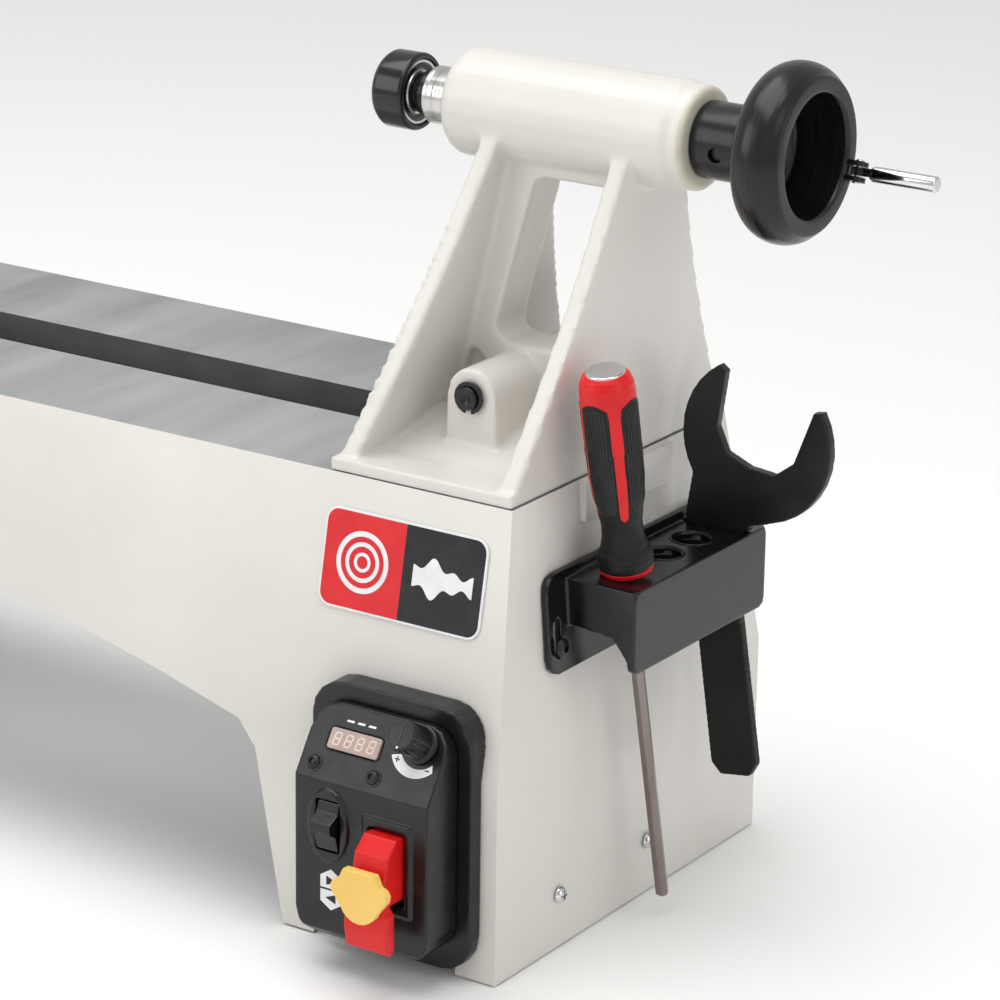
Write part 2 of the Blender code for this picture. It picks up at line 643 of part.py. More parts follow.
def build_spur_centre():
    mouth = NOSE_RIGHT
    profile = [(mouth - TAPER_LENGTH, 0.0), (mouth - TAPER_LENGTH, taper_r(TAPER_LENGTH) - GAP)]
    profile += [(mouth, TAPER_BIG_R - GAP), (mouth + 0.014, 0.0092), (mouth + 0.014, 0.0115)]
    profile += [(mouth + 0.021, 0.0115), (mouth + 0.021, 0.003), (mouth + 0.030, 0.0)]
    centre = make_object("spur_centre", turned(profile, "X", (0, 0, AXIS_Z), SMALL), STEEL,
                         (mouth, 0, AXIS_Z))
    for quarter in range(4):
        wedge = [(mouth + 0.018, 0.0035), (mouth + 0.018, 0.0108), (mouth + 0.027, 0.0108),
                 (mouth + 0.024, 0.0035)]
        spur = prism([(x, AXIS_Z + z) for x, z in wedge], "Y", -0.0013, 0.0013)
        fuse(centre, turn(spur, 90 * quarter, "X", (mouth, 0, AXIS_Z)))


# ---------------------------------------------------------------- tailstock
RIB_LEAN_LEFT = 0.036
RIB_LEAN_RIGHT = 0.0166
RIB_TOP = CENTRE_HEIGHT - 0.003
TAIL_RIGHT = -0.0007
TAIL_LEFT = TAIL_RIGHT - TAIL_LENGTH
CAM_X = (TAIL_LEFT + TAIL_RIGHT) / 2
CAM_Z = BED_HEIGHT + CAM_HEIGHT
LEVER_Y = HALF_WIDTH + 0.010


def rib_outline(front_edge):
    """One rib seen along the bed: wide at the foot, as wide as the barrel at the top, a little hollow."""
    low = BED_HEIGHT + GAP + TAIL_BASE / 2
    high = BED_HEIGHT + RIB_TOP
    edge = []
    steps = 6
    for k in range(steps + 1):
        share = k / steps
        sag = 0.006 * math.sin(math.pi * share)
        edge.append((front_edge + (BARREL_R - 0.0030 - front_edge) * share - sag,
                     low + (high - low) * share))
    return [(-y, z) for y, z in edge] + [(y, z) for y, z in reversed(edge)]


def leaning_rib(left, lean):
    """A rib plate that leans towards the bed's end as it rises."""
    bm = prism(rib_outline(HALF_WIDTH - 0.0015), "X", left, left + TAIL_RIB)
    for vert in bm.verts:
        vert.co.x += lean * (vert.co.z - BED_HEIGHT) / RIB_TOP
    return bm


def build_tailstock():
    low = BED_HEIGHT + GAP
    barrel = [(BARREL_LEFT, 0.0), (BARREL_LEFT, BARREL_R - 0.005),
              (BARREL_LEFT + 0.0015, BARREL_R - 0.002)]
    barrel += [(BARREL_LEFT + 0.005, BARREL_R), (BARREL_RIGHT - 0.010, BARREL_R)]
    barrel += [(BARREL_RIGHT - 0.009, BARREL_R - 0.0012), (BARREL_RIGHT - 0.002, BARREL_R - 0.0012)]
    barrel += [(BARREL_RIGHT, BARREL_R - 0.003), (BARREL_RIGHT, 0.0)]
    tail = make_object("tailstock", turned(barrel, "X", (0, 0, AXIS_Z)), PAINT)
    fuse(tail, leaning_rib(TAIL_LEFT + 0.0010, RIB_LEAN_LEFT))
    fuse(tail, leaning_rib(TAIL_RIGHT - TAIL_RIB - 0.0010, RIB_LEAN_RIGHT))
    base = [(TAIL_LEFT, -HALF_WIDTH), (TAIL_RIGHT, -HALF_WIDTH), (TAIL_RIGHT, HALF_WIDTH),
            (TAIL_LEFT, HALF_WIDTH)]
    fuse(tail, prism(base, "Z", low, low + TAIL_BASE))
    floor = [(-HALF_WIDTH + 0.010, low + 0.002), (HALF_WIDTH - 0.010, low + 0.002), (0.030, low + 0.0155)]
    fuse(tail, prism(floor + [(-0.030, low + 0.0155)], "X", TAIL_LEFT + 0.004, TAIL_RIGHT - 0.004))
    web_top = AXIS_Z - BARREL_R + 0.006
    rise = (web_top - low) / RIB_TOP
    web = [(TAIL_LEFT + 0.004, low + 0.002), (TAIL_RIGHT - 0.004, low + 0.002)]
    web += [(TAIL_RIGHT - 0.004 + RIB_LEAN_RIGHT * rise, web_top),
            (TAIL_LEFT + 0.004 + RIB_LEAN_LEFT * rise, web_top)]
    fuse(tail, prism(web, "Y", -0.013, 0.013))
    boss = arc((CAM_X, CAM_Z), 0.0135, 0, 180, 8) + [(CAM_X - 0.0150, low + 0.001),
                                                     (CAM_X + 0.0150, low + 0.001)]
    fuse(tail, prism(boss, "Y", -0.052, 0.052))
    cut(tail, tail_window())
    for side in (-1, 1):
        cut(tail, tail_web_relief(side))
    eye_pocket = block((CAM_X - 0.0125, -0.0095, low - CLEAR), (CAM_X + 0.0125, 0.0095, CAM_Z + 0.0118))
    cam_bore = rod("Y", (CAM_X, 0, CAM_Z), -CLEAR - 0.05, CLEAR + 0.05, CAM_R + RUN)
    quill_bore = rod("X", (0, 0, AXIS_Z), BARREL_LEFT - CLEAR, BARREL_RIGHT + CLEAR, QUILL_R + RUN, ROUND)
    lock_bore = rod("Y", (LOCK_X, 0, AXIS_Z), 0.002, BARREL_R + CLEAR, 0.004 + RUN)
    cut(tail, eye_pocket, cam_bore, quill_bore, lock_bore)
    return tail


LOCK_X = -0.055


def window_outline(inset):
    """The window in the web, following the two leaning ribs."""
    low = BED_HEIGHT + 0.050 + inset
    high = AXIS_Z - BARREL_R - 0.002 - inset
    points = []
    for z in (low, high):
        share = (z - BED_HEIGHT) / RIB_TOP
        left = TAIL_LEFT + TAIL_RIB + 0.016 + RIB_LEAN_LEFT * share + inset
        right = TAIL_RIGHT - TAIL_RIB - 0.003 + RIB_LEAN_RIGHT * share - inset
        points.append((left, right, z))
    (left0, right0, z0), (left1, right1, z1) = points
    corner = 0.007
    outline = arc((left0 + corner, z0 + corner), corner, 180, 270, 3)
    outline += [(right0 - 0.002, z0), (right0, z0 + 0.002), (right1, z1 - 0.002), (right1 - 0.002, z1)]
    outline += arc((left1 + corner, z1 - corner), corner, 90, 180, 3)
    return outline


def tail_window():
    return prism(window_outline(0.0), "Y", -0.04, 0.04)


def tail_web_relief(side):
    """Thins the web behind the raised lip round the window, on one side."""
    low = BED_HEIGHT + 0.0200
    inner, outer = 0.0060, 0.0300
    foot = CAM_X - 0.0190
    top = BED_HEIGHT + 0.0435
    start = TAIL_LEFT + TAIL_RIB + 0.002
    rise = RIB_LEAN_LEFT / RIB_TOP
    outline = [(start + rise * (low - BED_HEIGHT), low), (foot, low), (foot, top - 0.004),
               (foot - 0.004, top)]
    outline += [(start + rise * (top - BED_HEIGHT) + 0.001, top)]
    return prism(outline, "Y", *sorted((side * inner, side * outer)))


def build_cam():
    """Cam shaft, its clip at the front and the lever behind the bed."""
    pivot = (CAM_X, 0, CAM_Z)
    make_object("cam_shaft", rod("Y", pivot, -0.0565, LEVER_Y + 0.006, CAM_R), BLACK_STEEL, pivot)
    clip = make_object("retaining_clip", tube("Y", pivot, -0.0545, -0.0535, CAM_R + GAP, 0.0078, SMALL),
                       BLACK_STEEL, pivot)
    cut(clip, block((CAM_X - 0.0016, -0.06, CAM_Z - 0.012), (CAM_X + 0.0016, -0.05, CAM_Z)))
    hub_low, hub_high = LEVER_Y - 0.006, LEVER_Y + 0.0055
    lever = make_object("clamp_lever", tube("Y", pivot, hub_low, hub_high, CAM_R + GAP, 0.0115, SMALL),
                        BLACK_STEEL, pivot)
    arm = rod("Z", (CAM_X, LEVER_Y, 0), CAM_Z - 0.105, CAM_Z - 0.0085, 0.0045, 12)
    knob = turned(ball_profile(CAM_Z - 0.100, 0.0125), "Z", (CAM_X, LEVER_Y, 0), SMALL)
    lean = 17
    top = (CAM_X, LEVER_Y, CAM_Z)
    fuse(lever, turn(arm, lean, "X", top), turn(knob, lean, "X", top))


def ball_profile(along, radius):
    """Profile of a ball centred at along."""
    steps = 8
    points = []
    for k in range(steps + 1):
        angle = math.pi * k / steps
        points.append((along - radius * math.cos(angle), max(0.0, radius * math.sin(angle))))
    points[0] = (along - radius, 0.0)
    points[-1] = (along + radius, 0.0)
    return points


def eye_bolt(name, x, eye_z, shaft_r, axis, low_z, pivot, width=0.014):
    """A bolt whose eye hangs on a cam shaft and whose shank goes down through the slot."""
    inner = shaft_r + 0.0019
    outer = inner + 0.0035
    eye = tube(axis, (x, 0, eye_z), -width / 2, width / 2, inner, outer, SMALL)
    bolt = make_object(name, eye, STEEL, pivot)
    return fuse(bolt, rod("Z", (x, 0, 0), low_z, eye_z - inner - 0.0012, 0.005, 12))


def clamp_plate(name, x, pivot, half_length=0.030, half_width=0.034):
    """A plate under the ways with its nut, drawn as one."""
    top = WAY_UNDER - GAP
    plate = make_object(name, block((x - half_length, -half_width, top - 0.012), (x + half_length,
                                                                                  half_width, top)),
                        BLACK_STEEL, pivot)
    key = SLOT_WIDTH / 2 - 0.0012
    fuse(plate, block((x - half_length + 0.004, -key, top - 0.002), (x + half_length - 0.004, key,
                                                                     top + 0.008)))
    nut = [(x + 0.0105 * math.cos(math.radians(60 * k)),
            0.0105 * math.sin(math.radians(60 * k))) for k in range(6)]
    fuse(plate, prism(nut, "Z", top - 0.020, top - 0.011))
    return cut(plate, rod("Z", (x, 0, 0), top - CLEAR, top + CLEAR, 0.005 + GAP, 12))


def build_tail_clamp():
    pivot = (CAM_X, 0, WAY_UNDER)
    eye_bolt("tail_clamp_bolt", CAM_X, CAM_Z, CAM_R, "Y", WAY_UNDER - 0.024, pivot)
    clamp_plate("tail_clamp_plate", CAM_X, pivot)


def build_quill():
    right = QUILL_LEFT + QUILL_LENGTH
    socket_end = QUILL_LEFT + TAPER_LENGTH + 0.004
    outer = [(QUILL_LEFT, QUILL_R - 0.001), (QUILL_LEFT + 0.001, QUILL_R), (right, QUILL_R)]
    inner = [(right, SCREW_R + RUN), (socket_end, SCREW_R + RUN)]
    inner += [(socket_end, taper_r(TAPER_LENGTH + 0.004)), (QUILL_LEFT, TAPER_BIG_R)]
    centre = (0, 0, AXIS_Z)
    make_object("quill", turned(outer + inner, "X", centre, ROUND, ring=True), STEEL,
                (QUILL_LEFT, 0, AXIS_Z))
    bush_low = right + 0.0085
    make_object("barrel_bushing", tube("X", centre, bush_low, BARREL_RIGHT - 0.001, SCREW_R + RUN,
                                       QUILL_R, ROUND),
                STEEL)
    screw = [(socket_end + 0.004, 0.0), (socket_end + 0.004, SCREW_R), (right + 0.0015, SCREW_R)]
    screw += [(right + 0.0015, 0.011), (bush_low - GAP, 0.011), (bush_low - GAP, SCREW_R)]
    screw += [(BARREL_RIGHT, SCREW_R), (BARREL_RIGHT, 0.005), (BARREL_RIGHT + 0.019, 0.005)]
    screw.append((BARREL_RIGHT + 0.019, 0.0))
    make_object("quill_screw", turned(screw, "X", centre, SMALL), STEEL, (BARREL_RIGHT, 0, AXIS_Z))


def build_live_centre():
    centre = (0, 0, AXIS_Z)
    cup_right = QUILL_LEFT - 0.0080
    cup_left = cup_right - CUP_LENGTH
    bearing_r = CUP_R - 0.0028
    arbor_r = 0.0080
    arbor = [(cup_left + 0.004, 0.0), (cup_left + 0.004, arbor_r), (QUILL_LEFT - 0.0060, arbor_r)]
    arbor += [(QUILL_LEFT - 0.0060, 0.0105), (QUILL_LEFT - 0.0015, 0.0105),
              (QUILL_LEFT - 0.0015, TAPER_BIG_R - GAP)]
    arbor += [(QUILL_LEFT, TAPER_BIG_R - GAP), (QUILL_LEFT + TAPER_LENGTH, taper_r(TAPER_LENGTH) - GAP)]
    arbor.append((QUILL_LEFT + TAPER_LENGTH, 0.0))
    make_object("live_centre_arbor", turned(arbor, "X", centre, SMALL), STEEL, (QUILL_LEFT, 0, AXIS_Z))
    make_object("live_centre_bearing", tube("X", centre, cup_left + 0.0055, cup_right - 0.001,
                                            arbor_r + GAP,
                                            bearing_r - RUN), STEEL, (QUILL_LEFT, 0, AXIS_Z))
    cup = [(cup_left - 0.0055, 0.0), (cup_left - 0.0030, 0.0035), (cup_left, 0.0070),
           (cup_left, CUP_R - 0.0025)]
    cup += [(cup_left + 0.0025, CUP_R), (cup_right - 0.001, CUP_R), (cup_right, CUP_R - 0.001)]
    cup += [(cup_right, bearing_r), (cup_left + 0.0035, bearing_r), (cup_left + 0.0035, 0.0)]
    make_object("live_centre_cup", turned(cup, "X", centre), BLACK_METAL, (cup_left, 0, AXIS_Z))


HANDLE_ANGLE = -22.0       # round the wheel, from +Y towards +Z
HANDLE_RADIUS = 0.0325
HANDLE_X = WHEEL_FACE_X + 0.0042


def build_handwheel():
    centre = (0, 0, AXIS_Z)
    pivot = (WHEEL_FACE_X, 0, AXIS_Z)
    hub = BARREL_RIGHT + GAP
    face = WHEEL_FACE_X
    bore = 0.005 + GAP
    loop = [(hub, bore), (hub, 0.0177), (hub + 0.0235, 0.0177), (hub + 0.0280, 0.0200),
            (hub + 0.0305, 0.0260)]
    loop += [(hub + 0.0315, 0.0320)]
    loop += [(face - 0.0125 + 0.0125 * math.sin(t), WHEEL_R - 0.0090 + 0.0090 * math.cos(t))
             for t in [math.radians(a) for a in (-75, -50, -25, 0, 25, 50)]]
    loop += [(face - 0.0010, WHEEL_R - 0.0046), (face, WHEEL_R - 0.0056), (face, 0.0290),
             (face - 0.0015, 0.0280)]
    loop += [(face - 0.026, 0.0255), (face - 0.032, 0.0200), (face - 0.034, 0.0100), (face - 0.034, bore)]
    wheel = make_object("tail_handwheel", turned(loop, "X", centre, 28, ring=True), BLACK_METAL, pivot)
    ear = [(face - 0.006, HANDLE_RADIUS - 0.0040), (HANDLE_X, HANDLE_RADIUS - 0.0040)]
    ear += arc((HANDLE_X, HANDLE_RADIUS), 0.0040, -60, 60, 4)
    ear += [(HANDLE_X, HANDLE_RADIUS + 0.0040), (face - 0.006, HANDLE_RADIUS + 0.0030)]
    for side in (-1, 1):
        low, high = sorted((AXIS_Z + side * 0.0024, AXIS_Z + side * 0.0046))
        fuse(wheel, turn(prism(ear, "Z", low, high), HANDLE_ANGLE, "X", centre))
    pin_hole = rod("Z", (HANDLE_X, HANDLE_RADIUS, 0), AXIS_Z - 0.010, AXIS_Z + 0.010, 0.0015 + GAP, 12)
    set_hole = rod("Y", (hub + 0.0135, 0, AXIS_Z), -0.030, -0.004, 0.0032 + GAP, 12)
    cut(wheel, turn(pin_hole, HANDLE_ANGLE, "X", centre), turn(set_hole, 8, "X", centre))
    set_screw = rod("Y", (hub + 0.0135, 0, AXIS_Z), -0.0155, -0.0056, 0.0032, 12)
    make_object("hub_set_screw", turn(set_screw, 8, "X", centre), BLACK_STEEL, pivot)


def build_crank_handle():
    centre = (0, 0, AXIS_Z)
    spot = math.radians(HANDLE_ANGLE)
    pivot = (HANDLE_X, HANDLE_RADIUS * math.cos(spot), AXIS_Z + HANDLE_RADIUS * math.sin(spot))
    axis = (HANDLE_X, HANDLE_RADIUS, AXIS_Z)
    start, end = HANDLE_X + 0.0075, HANDLE_X + HANDLE_LENGTH
    profile = [(start, 0.0), (start, HANDLE_R - 0.0008), (start + 0.0012, HANDLE_R),
               (end - 0.0008, HANDLE_R)]
    profile += [(end, HANDLE_R - 0.0008), (end, 0.0)]
    bar = turned(profile, "X", axis, SMALL)
    handle = make_object("crank_handle", turn(bar, HANDLE_ANGLE, "X", centre), CHROME, pivot)
    r = HANDLE_RADIUS
    tongue = [(start + 0.004, r + 0.0030), (HANDLE_X, r + 0.0034)]
    tongue += arc((HANDLE_X, r), 0.0034, 100, 260, 4) + [(HANDLE_X, r - 0.0034),
                                                         (start + 0.004, r - 0.0030)]
    fuse(handle, turn(prism(tongue, "Z", AXIS_Z - 0.0020, AXIS_Z + 0.0020), HANDLE_ANGLE, "X", centre))
    hole = rod("Z", axis, AXIS_Z - 0.010, AXIS_Z + 0.010, 0.0015 + GAP, 12)
    cut(handle, turn(hole, HANDLE_ANGLE, "X", centre))
    low = AXIS_Z - 0.0050
    pin = [(low, 0.0), (low, 0.0015), (AXIS_Z + 0.0049, 0.0015), (AXIS_Z + 0.0049, 0.0024)]
    pin += [(AXIS_Z + 0.0056, 0.0020), (AXIS_Z + 0.0060, 0.0)]
    make_object("crank_pin", turn(turned(pin, "Z", axis, 12), HANDLE_ANGLE, "X", centre), CHROME, pivot)


def build_quill_lock():
    """Screw and short lever behind the barrel that hold the quill."""
    pivot = (LOCK_X, BARREL_R, AXIS_Z)
    hub_low = BARREL_R + 0.0012
    profile = [(QUILL_R + 0.0008, 0.0), (QUILL_R + 0.0008, 0.004), (hub_low, 0.004), (hub_low, 0.0078)]
    profile += [(hub_low + 0.015, 0.0070), (hub_low + 0.015, 0.0)]
    lock = make_object("quill_lock_lever", turned(profile, "Y", (LOCK_X, 0, AXIS_Z), SMALL), BLACK_METAL,
                       pivot)
    arm_y = hub_low + 0.009
    arm = [(LOCK_X, 0.0), (LOCK_X, 0.0042), (LOCK_X + 0.040, 0.0052), (LOCK_X + 0.046, 0.0030),
           (LOCK_X + 0.046, 0.0)]
    fuse(lock, turned(arm, "X", (0, arm_y, AXIS_Z), 12))


# ---------------------------------------------------------------- tool rest
BANJO_LOW = BED_HEIGHT + GAP
POST_Y = -0.064
ROD_Z = BANJO_LOW + 0.019
BANJO_FRONT = -0.088
BANJO_BACK = 0.074
REST_TOP = AXIS_Z + 0.001
SOCKET_TOP = BANJO_LOW + 0.072


def build_banjo():
    half = BANJO_WIDTH / 2
    x = BANJO_X
    outline = arc((x, BANJO_BACK - half), half, 0, 180, 8) + arc((x, POST_Y), 0.021, 180, 360, 8)
    banjo = make_object("banjo", prism(outline, "Z", BANJO_LOW, BANJO_LOW + BANJO_HEIGHT), PAINT,
                        (x, 0, BANJO_LOW))
    fuse(banjo, rod("Z", (x, POST_Y, 0), BANJO_LOW + 0.002, SOCKET_TOP, 0.0185, ROUND))
    channel = rounded_outline((x - 0.0112, -0.032), (x + 0.0112, BANJO_BACK - 0.014), 0.009, 2)
    cut(banjo, prism(channel, "Z", BANJO_LOW - CLEAR, BANJO_LOW + BANJO_HEIGHT - 0.004))
    cut(banjo, rod("Y", (x, 0, ROD_Z), POST_Y + 0.021, BANJO_BACK + CLEAR, 0.005 + RUN))
    cut(banjo, rod("Z", (x, POST_Y, 0), BANJO_LOW + 0.004, SOCKET_TOP + CLEAR, POST_R + RUN, 24))
    cut(banjo, rod("X", (0, POST_Y, POST_LOCK_Z), x + 0.002, x + CLEAR, 0.004 + RUN, 12))
    return banjo


POST_LOCK_Z = BANJO_LOW + 0.052


def build_banjo_clamp():
    pivot = (BANJO_X, 0, BANJO_LOW)
    eye_bolt("banjo_bolt", BANJO_X, ROD_Z, 0.005, "Y", WAY_UNDER - 0.024, pivot, width=0.012)
    clamp_plate("banjo_clamp_plate", BANJO_X, pivot)
    front = POST_Y + 0.022
    rod_pivot = (BANJO_X, 0, ROD_Z)
    lever = make_object("banjo_lever", rod("Y", rod_pivot, front, BANJO_BACK + 0.020, 0.005, 12),
                        BLACK_STEEL, rod_pivot)
    hub_y = BANJO_BACK + 0.012
    hub = rod("Y", rod_pivot, BANJO_BACK + 0.004, BANJO_BACK + 0.020, 0.0095)
    arm = rod("Z", (BANJO_X, hub_y, 0), ROD_Z, ROD_Z + 0.088, 0.0045, 12)
    knob = turned(ball_profile(ROD_Z + 0.090, 0.0125), "Z", (BANJO_X, hub_y, 0), SMALL)
    fuse(lever, hub, turn(arm, -20, "X", (BANJO_X, hub_y, ROD_Z)),
         turn(knob, -20, "X", (BANJO_X, hub_y, ROD_Z)))


def build_tool_rest():
    x = BANJO_X
    post_low = BANJO_LOW + 0.010
    collar = REST_TOP - 0.034
    post = [(post_low, 0.0), (post_low, POST_R - 0.001), (post_low + 0.001, POST_R),
            (collar - 0.0006, POST_R)]
    post += [(collar - 0.0006, 0.0050), (collar + 0.014, 0.0050), (collar + 0.014, 0.0)]
    make_object("rest_post", turned(post, "Z", (x, POST_Y, 0), 24), STEEL, (x, POST_Y, post_low))
    section = [(POST_Y - 0.012, collar), (POST_Y + 0.012, collar), (POST_Y + 0.012, collar + 0.012)]
    section += [(POST_Y + 0.022, REST_TOP - 0.004), (POST_Y + 0.020, REST_TOP),
                (POST_Y + 0.015, REST_TOP - 0.001)]
    section.append((POST_Y - 0.004, collar + 0.0155))
    half = REST_LENGTH / 2
    bar = make_object("rest_bar", prism(section, "X", x - half, x + half), PAINT, (x, POST_Y, collar))
    for side in (-1, 1):
        far = x + side * half * 1.1
        corner = [(far, collar - 0.010), (x + side * 0.012, collar - 0.010)]
        corner += [(x + side * half * 1.02, REST_TOP - 0.014), (far, REST_TOP - 0.014)]
        cut(bar, prism(corner, "Y", POST_Y - CLEAR, POST_Y + CLEAR))
    cut(bar, rod("Z", (x, POST_Y, 0), collar - CLEAR, collar + 0.0146, 0.0050 + RUN, 24))
    pivot = (x + 0.019, POST_Y, POST_LOCK_Z)
    lock = [(x + POST_R + 0.0008, 0.0), (x + POST_R + 0.0008, 0.004), (x + 0.0205, 0.004),
            (x + 0.0205, 0.0080)]
    lock += [(x + 0.036, 0.0070), (x + 0.036, 0.0)]
    handle = make_object("post_lock", turned(lock, "X", (0, POST_Y, POST_LOCK_Z), SMALL), BLACK_METAL,
                         pivot)
    arm = [(POST_Y, 0.0), (POST_Y, 0.0040), (POST_Y - 0.042, 0.0050), (POST_Y - 0.047, 0.003),
           (POST_Y - 0.047, 0.0)]
    fuse(handle, turned(arm, "Y", (x + 0.030, 0, POST_LOCK_Z), 12))


# ---------------------------------------------------------------- control box
BOX_FRONT = PLATE_Y - PLATE_THICKNESS - BOX_DEPTH
BOX_TOP = BOX_BOTTOM + BOX_HEIGHT
BEND_Z = BOX_TOP - 0.031
SLOPE_TOP_Y = BOX_FRONT + 0.020
SLOPE = math.degrees(math.atan2(SLOPE_TOP_Y - BOX_FRONT, BOX_TOP - BEND_Z))
KNOB_X = BOX_X + 0.023
SLOPE_KNOB = 0.26          # places on the slope, as shares from its top to the bend
SLOPE_DISPLAY = 0.45
SLOPE_SCREW = 0.80
ROCKER = (BOX_X - 0.0175, BOX_BOTTOM + 0.057)
SWITCH = (BOX_X + 0.0150, BOX_BOTTOM + 0.0445)


def slope_point(share):
    """A point on the sloped panel's middle line."""
    y = SLOPE_TOP_Y + (BOX_FRONT - SLOPE_TOP_Y) * share
    return y, BOX_TOP + (BEND_Z - BOX_TOP) * share


def on_slope(bm, x, share):
    """Lay a piece that was drawn facing -Y round the origin onto the sloped panel."""
    y, z = slope_point(share)
    turn(bm, -SLOPE, "X", (0, 0, 0))
    bmesh.ops.translate(bm, verts=bm.verts, vec=(x, y, z))
    return bm


def build_control_box():
    half = BOX_WIDTH / 2
    rim = PLATE_MARGIN
    plate_outline = rounded_outline((BOX_X - half - rim, BOX_BOTTOM - 0.012),
                                    (BOX_X + half + rim, BOX_TOP + rim), 0.018, 4)
    plate_front = PLATE_Y - PLATE_THICKNESS
    plate = make_object("control_plate", prism(plate_outline, "Y", plate_front, -HALF_WIDTH),
                        BLACK_PLASTIC)
    section = [(y + GAP * (1 if y > 0 else -1), z) for y, z in section_outline(0.0, BED_HEIGHT)]
    cut(plate, prism(section, "X", BOX_X - 0.1, BOX_X + 0.1))
    outline = [(plate_front - GAP, BOX_BOTTOM), (plate_front - GAP, BOX_TOP), (SLOPE_TOP_Y, BOX_TOP)]
    outline += [(BOX_FRONT, BEND_Z), (BOX_FRONT, BOX_BOTTOM + 0.004), (BOX_FRONT + 0.004, BOX_BOTTOM)]
    cover = make_object("control_cover", prism(outline, "X", BOX_X - half, BOX_X + half), BLACK_PLASTIC)
    front_view = rounded_outline((BOX_X - half, BOX_BOTTOM), (BOX_X + half, BOX_TOP), 0.012, 3)
    keep_inside(cover, prism(front_view, "Y", BOX_FRONT - CLEAR, plate_front + CLEAR))
    shell = [(plate_front + CLEAR, BOX_BOTTOM + 0.003), (plate_front + CLEAR, BOX_TOP - 0.003)]
    shell += [(SLOPE_TOP_Y + 0.0035, BOX_TOP - 0.003), (BOX_FRONT + 0.003, BEND_Z + 0.001),
              (BOX_FRONT + 0.003, BOX_BOTTOM + 0.003)]
    cut(cover, prism(shell, "X", BOX_X - half + 0.003, BOX_X + half - 0.003))
    rocker_x, rocker_z = ROCKER
    switch_x, switch_z = SWITCH
    oval = [(rocker_x + 0.0112 * math.cos(math.radians(a)), rocker_z + 0.0180 * math.sin(math.radians(a)))
            for a in range(0, 360, 20)]
    frame = [(switch_x - 0.0132, switch_z - 0.0225), (switch_x + 0.0132, switch_z - 0.0225)]
    frame += [(switch_x + 0.0132, switch_z + 0.0225), (switch_x - 0.0132, switch_z + 0.0225)]
    fuse(cover, prism(oval, "Y", BOX_FRONT - 0.0018, BOX_FRONT + 0.001))
    fuse(cover, prism(frame, "Y", BOX_FRONT - 0.0015, BOX_FRONT + 0.001))
    cut(cover, block((rocker_x - 0.0066, BOX_FRONT - CLEAR, rocker_z - 0.0126),
                     (rocker_x + 0.0066, BOX_FRONT + 0.01, rocker_z + 0.0126)))
    cut(cover, block((switch_x - 0.0100, BOX_FRONT - CLEAR, switch_z - 0.0180),
                     (switch_x + 0.0100, BOX_FRONT + 0.01, switch_z + 0.0180)))
    window = prism(rounded_outline((-0.0140, -0.0050), (0.0140, 0.0050), 0.0015, 2), "Y", -0.0008, 0.002)
    cut(cover, on_slope(prism(rounded_outline((-0.0143, -0.0053), (0.0143, 0.0053), 0.0015, 2), "Y",
                              -0.01, 0.01), BOX_X - 0.011, SLOPE_DISPLAY))
    make_object("display_window", on_slope(window, BOX_X - 0.011, SLOPE_DISPLAY), WINDOW)
    for name, x in (("cover_screw_left", BOX_X - 0.029), ("cover_screw_right", BOX_X + 0.004)):
        head = [(-0.0022, 0.0), (-0.0022, 0.0020), (-0.0016, 0.0032), (-GAP, 0.0034), (-GAP, 0.0)]
        make_object(name, on_slope(turned(head, "Y", (0, 0, 0), SMALL), x, SLOPE_SCREW), BLACK_STEEL)


def knob_pivot():
    y, z = slope_point(SLOPE_KNOB)
    return (KNOB_X, y, z)


def build_speed_knob():
    profile = [(-0.0190, 0.0), (-0.0190, 0.0070), (-0.0182, 0.0077), (-0.0050, 0.0085), (-0.0020, 0.0092)]
    profile += [(-GAP, 0.0092), (-GAP, 0.0)]
    make_object("speed_knob", on_slope(turned(profile, "Y", (0, 0, 0), 24), KNOB_X, SLOPE_KNOB),
                BLACK_PLASTIC, knob_pivot())


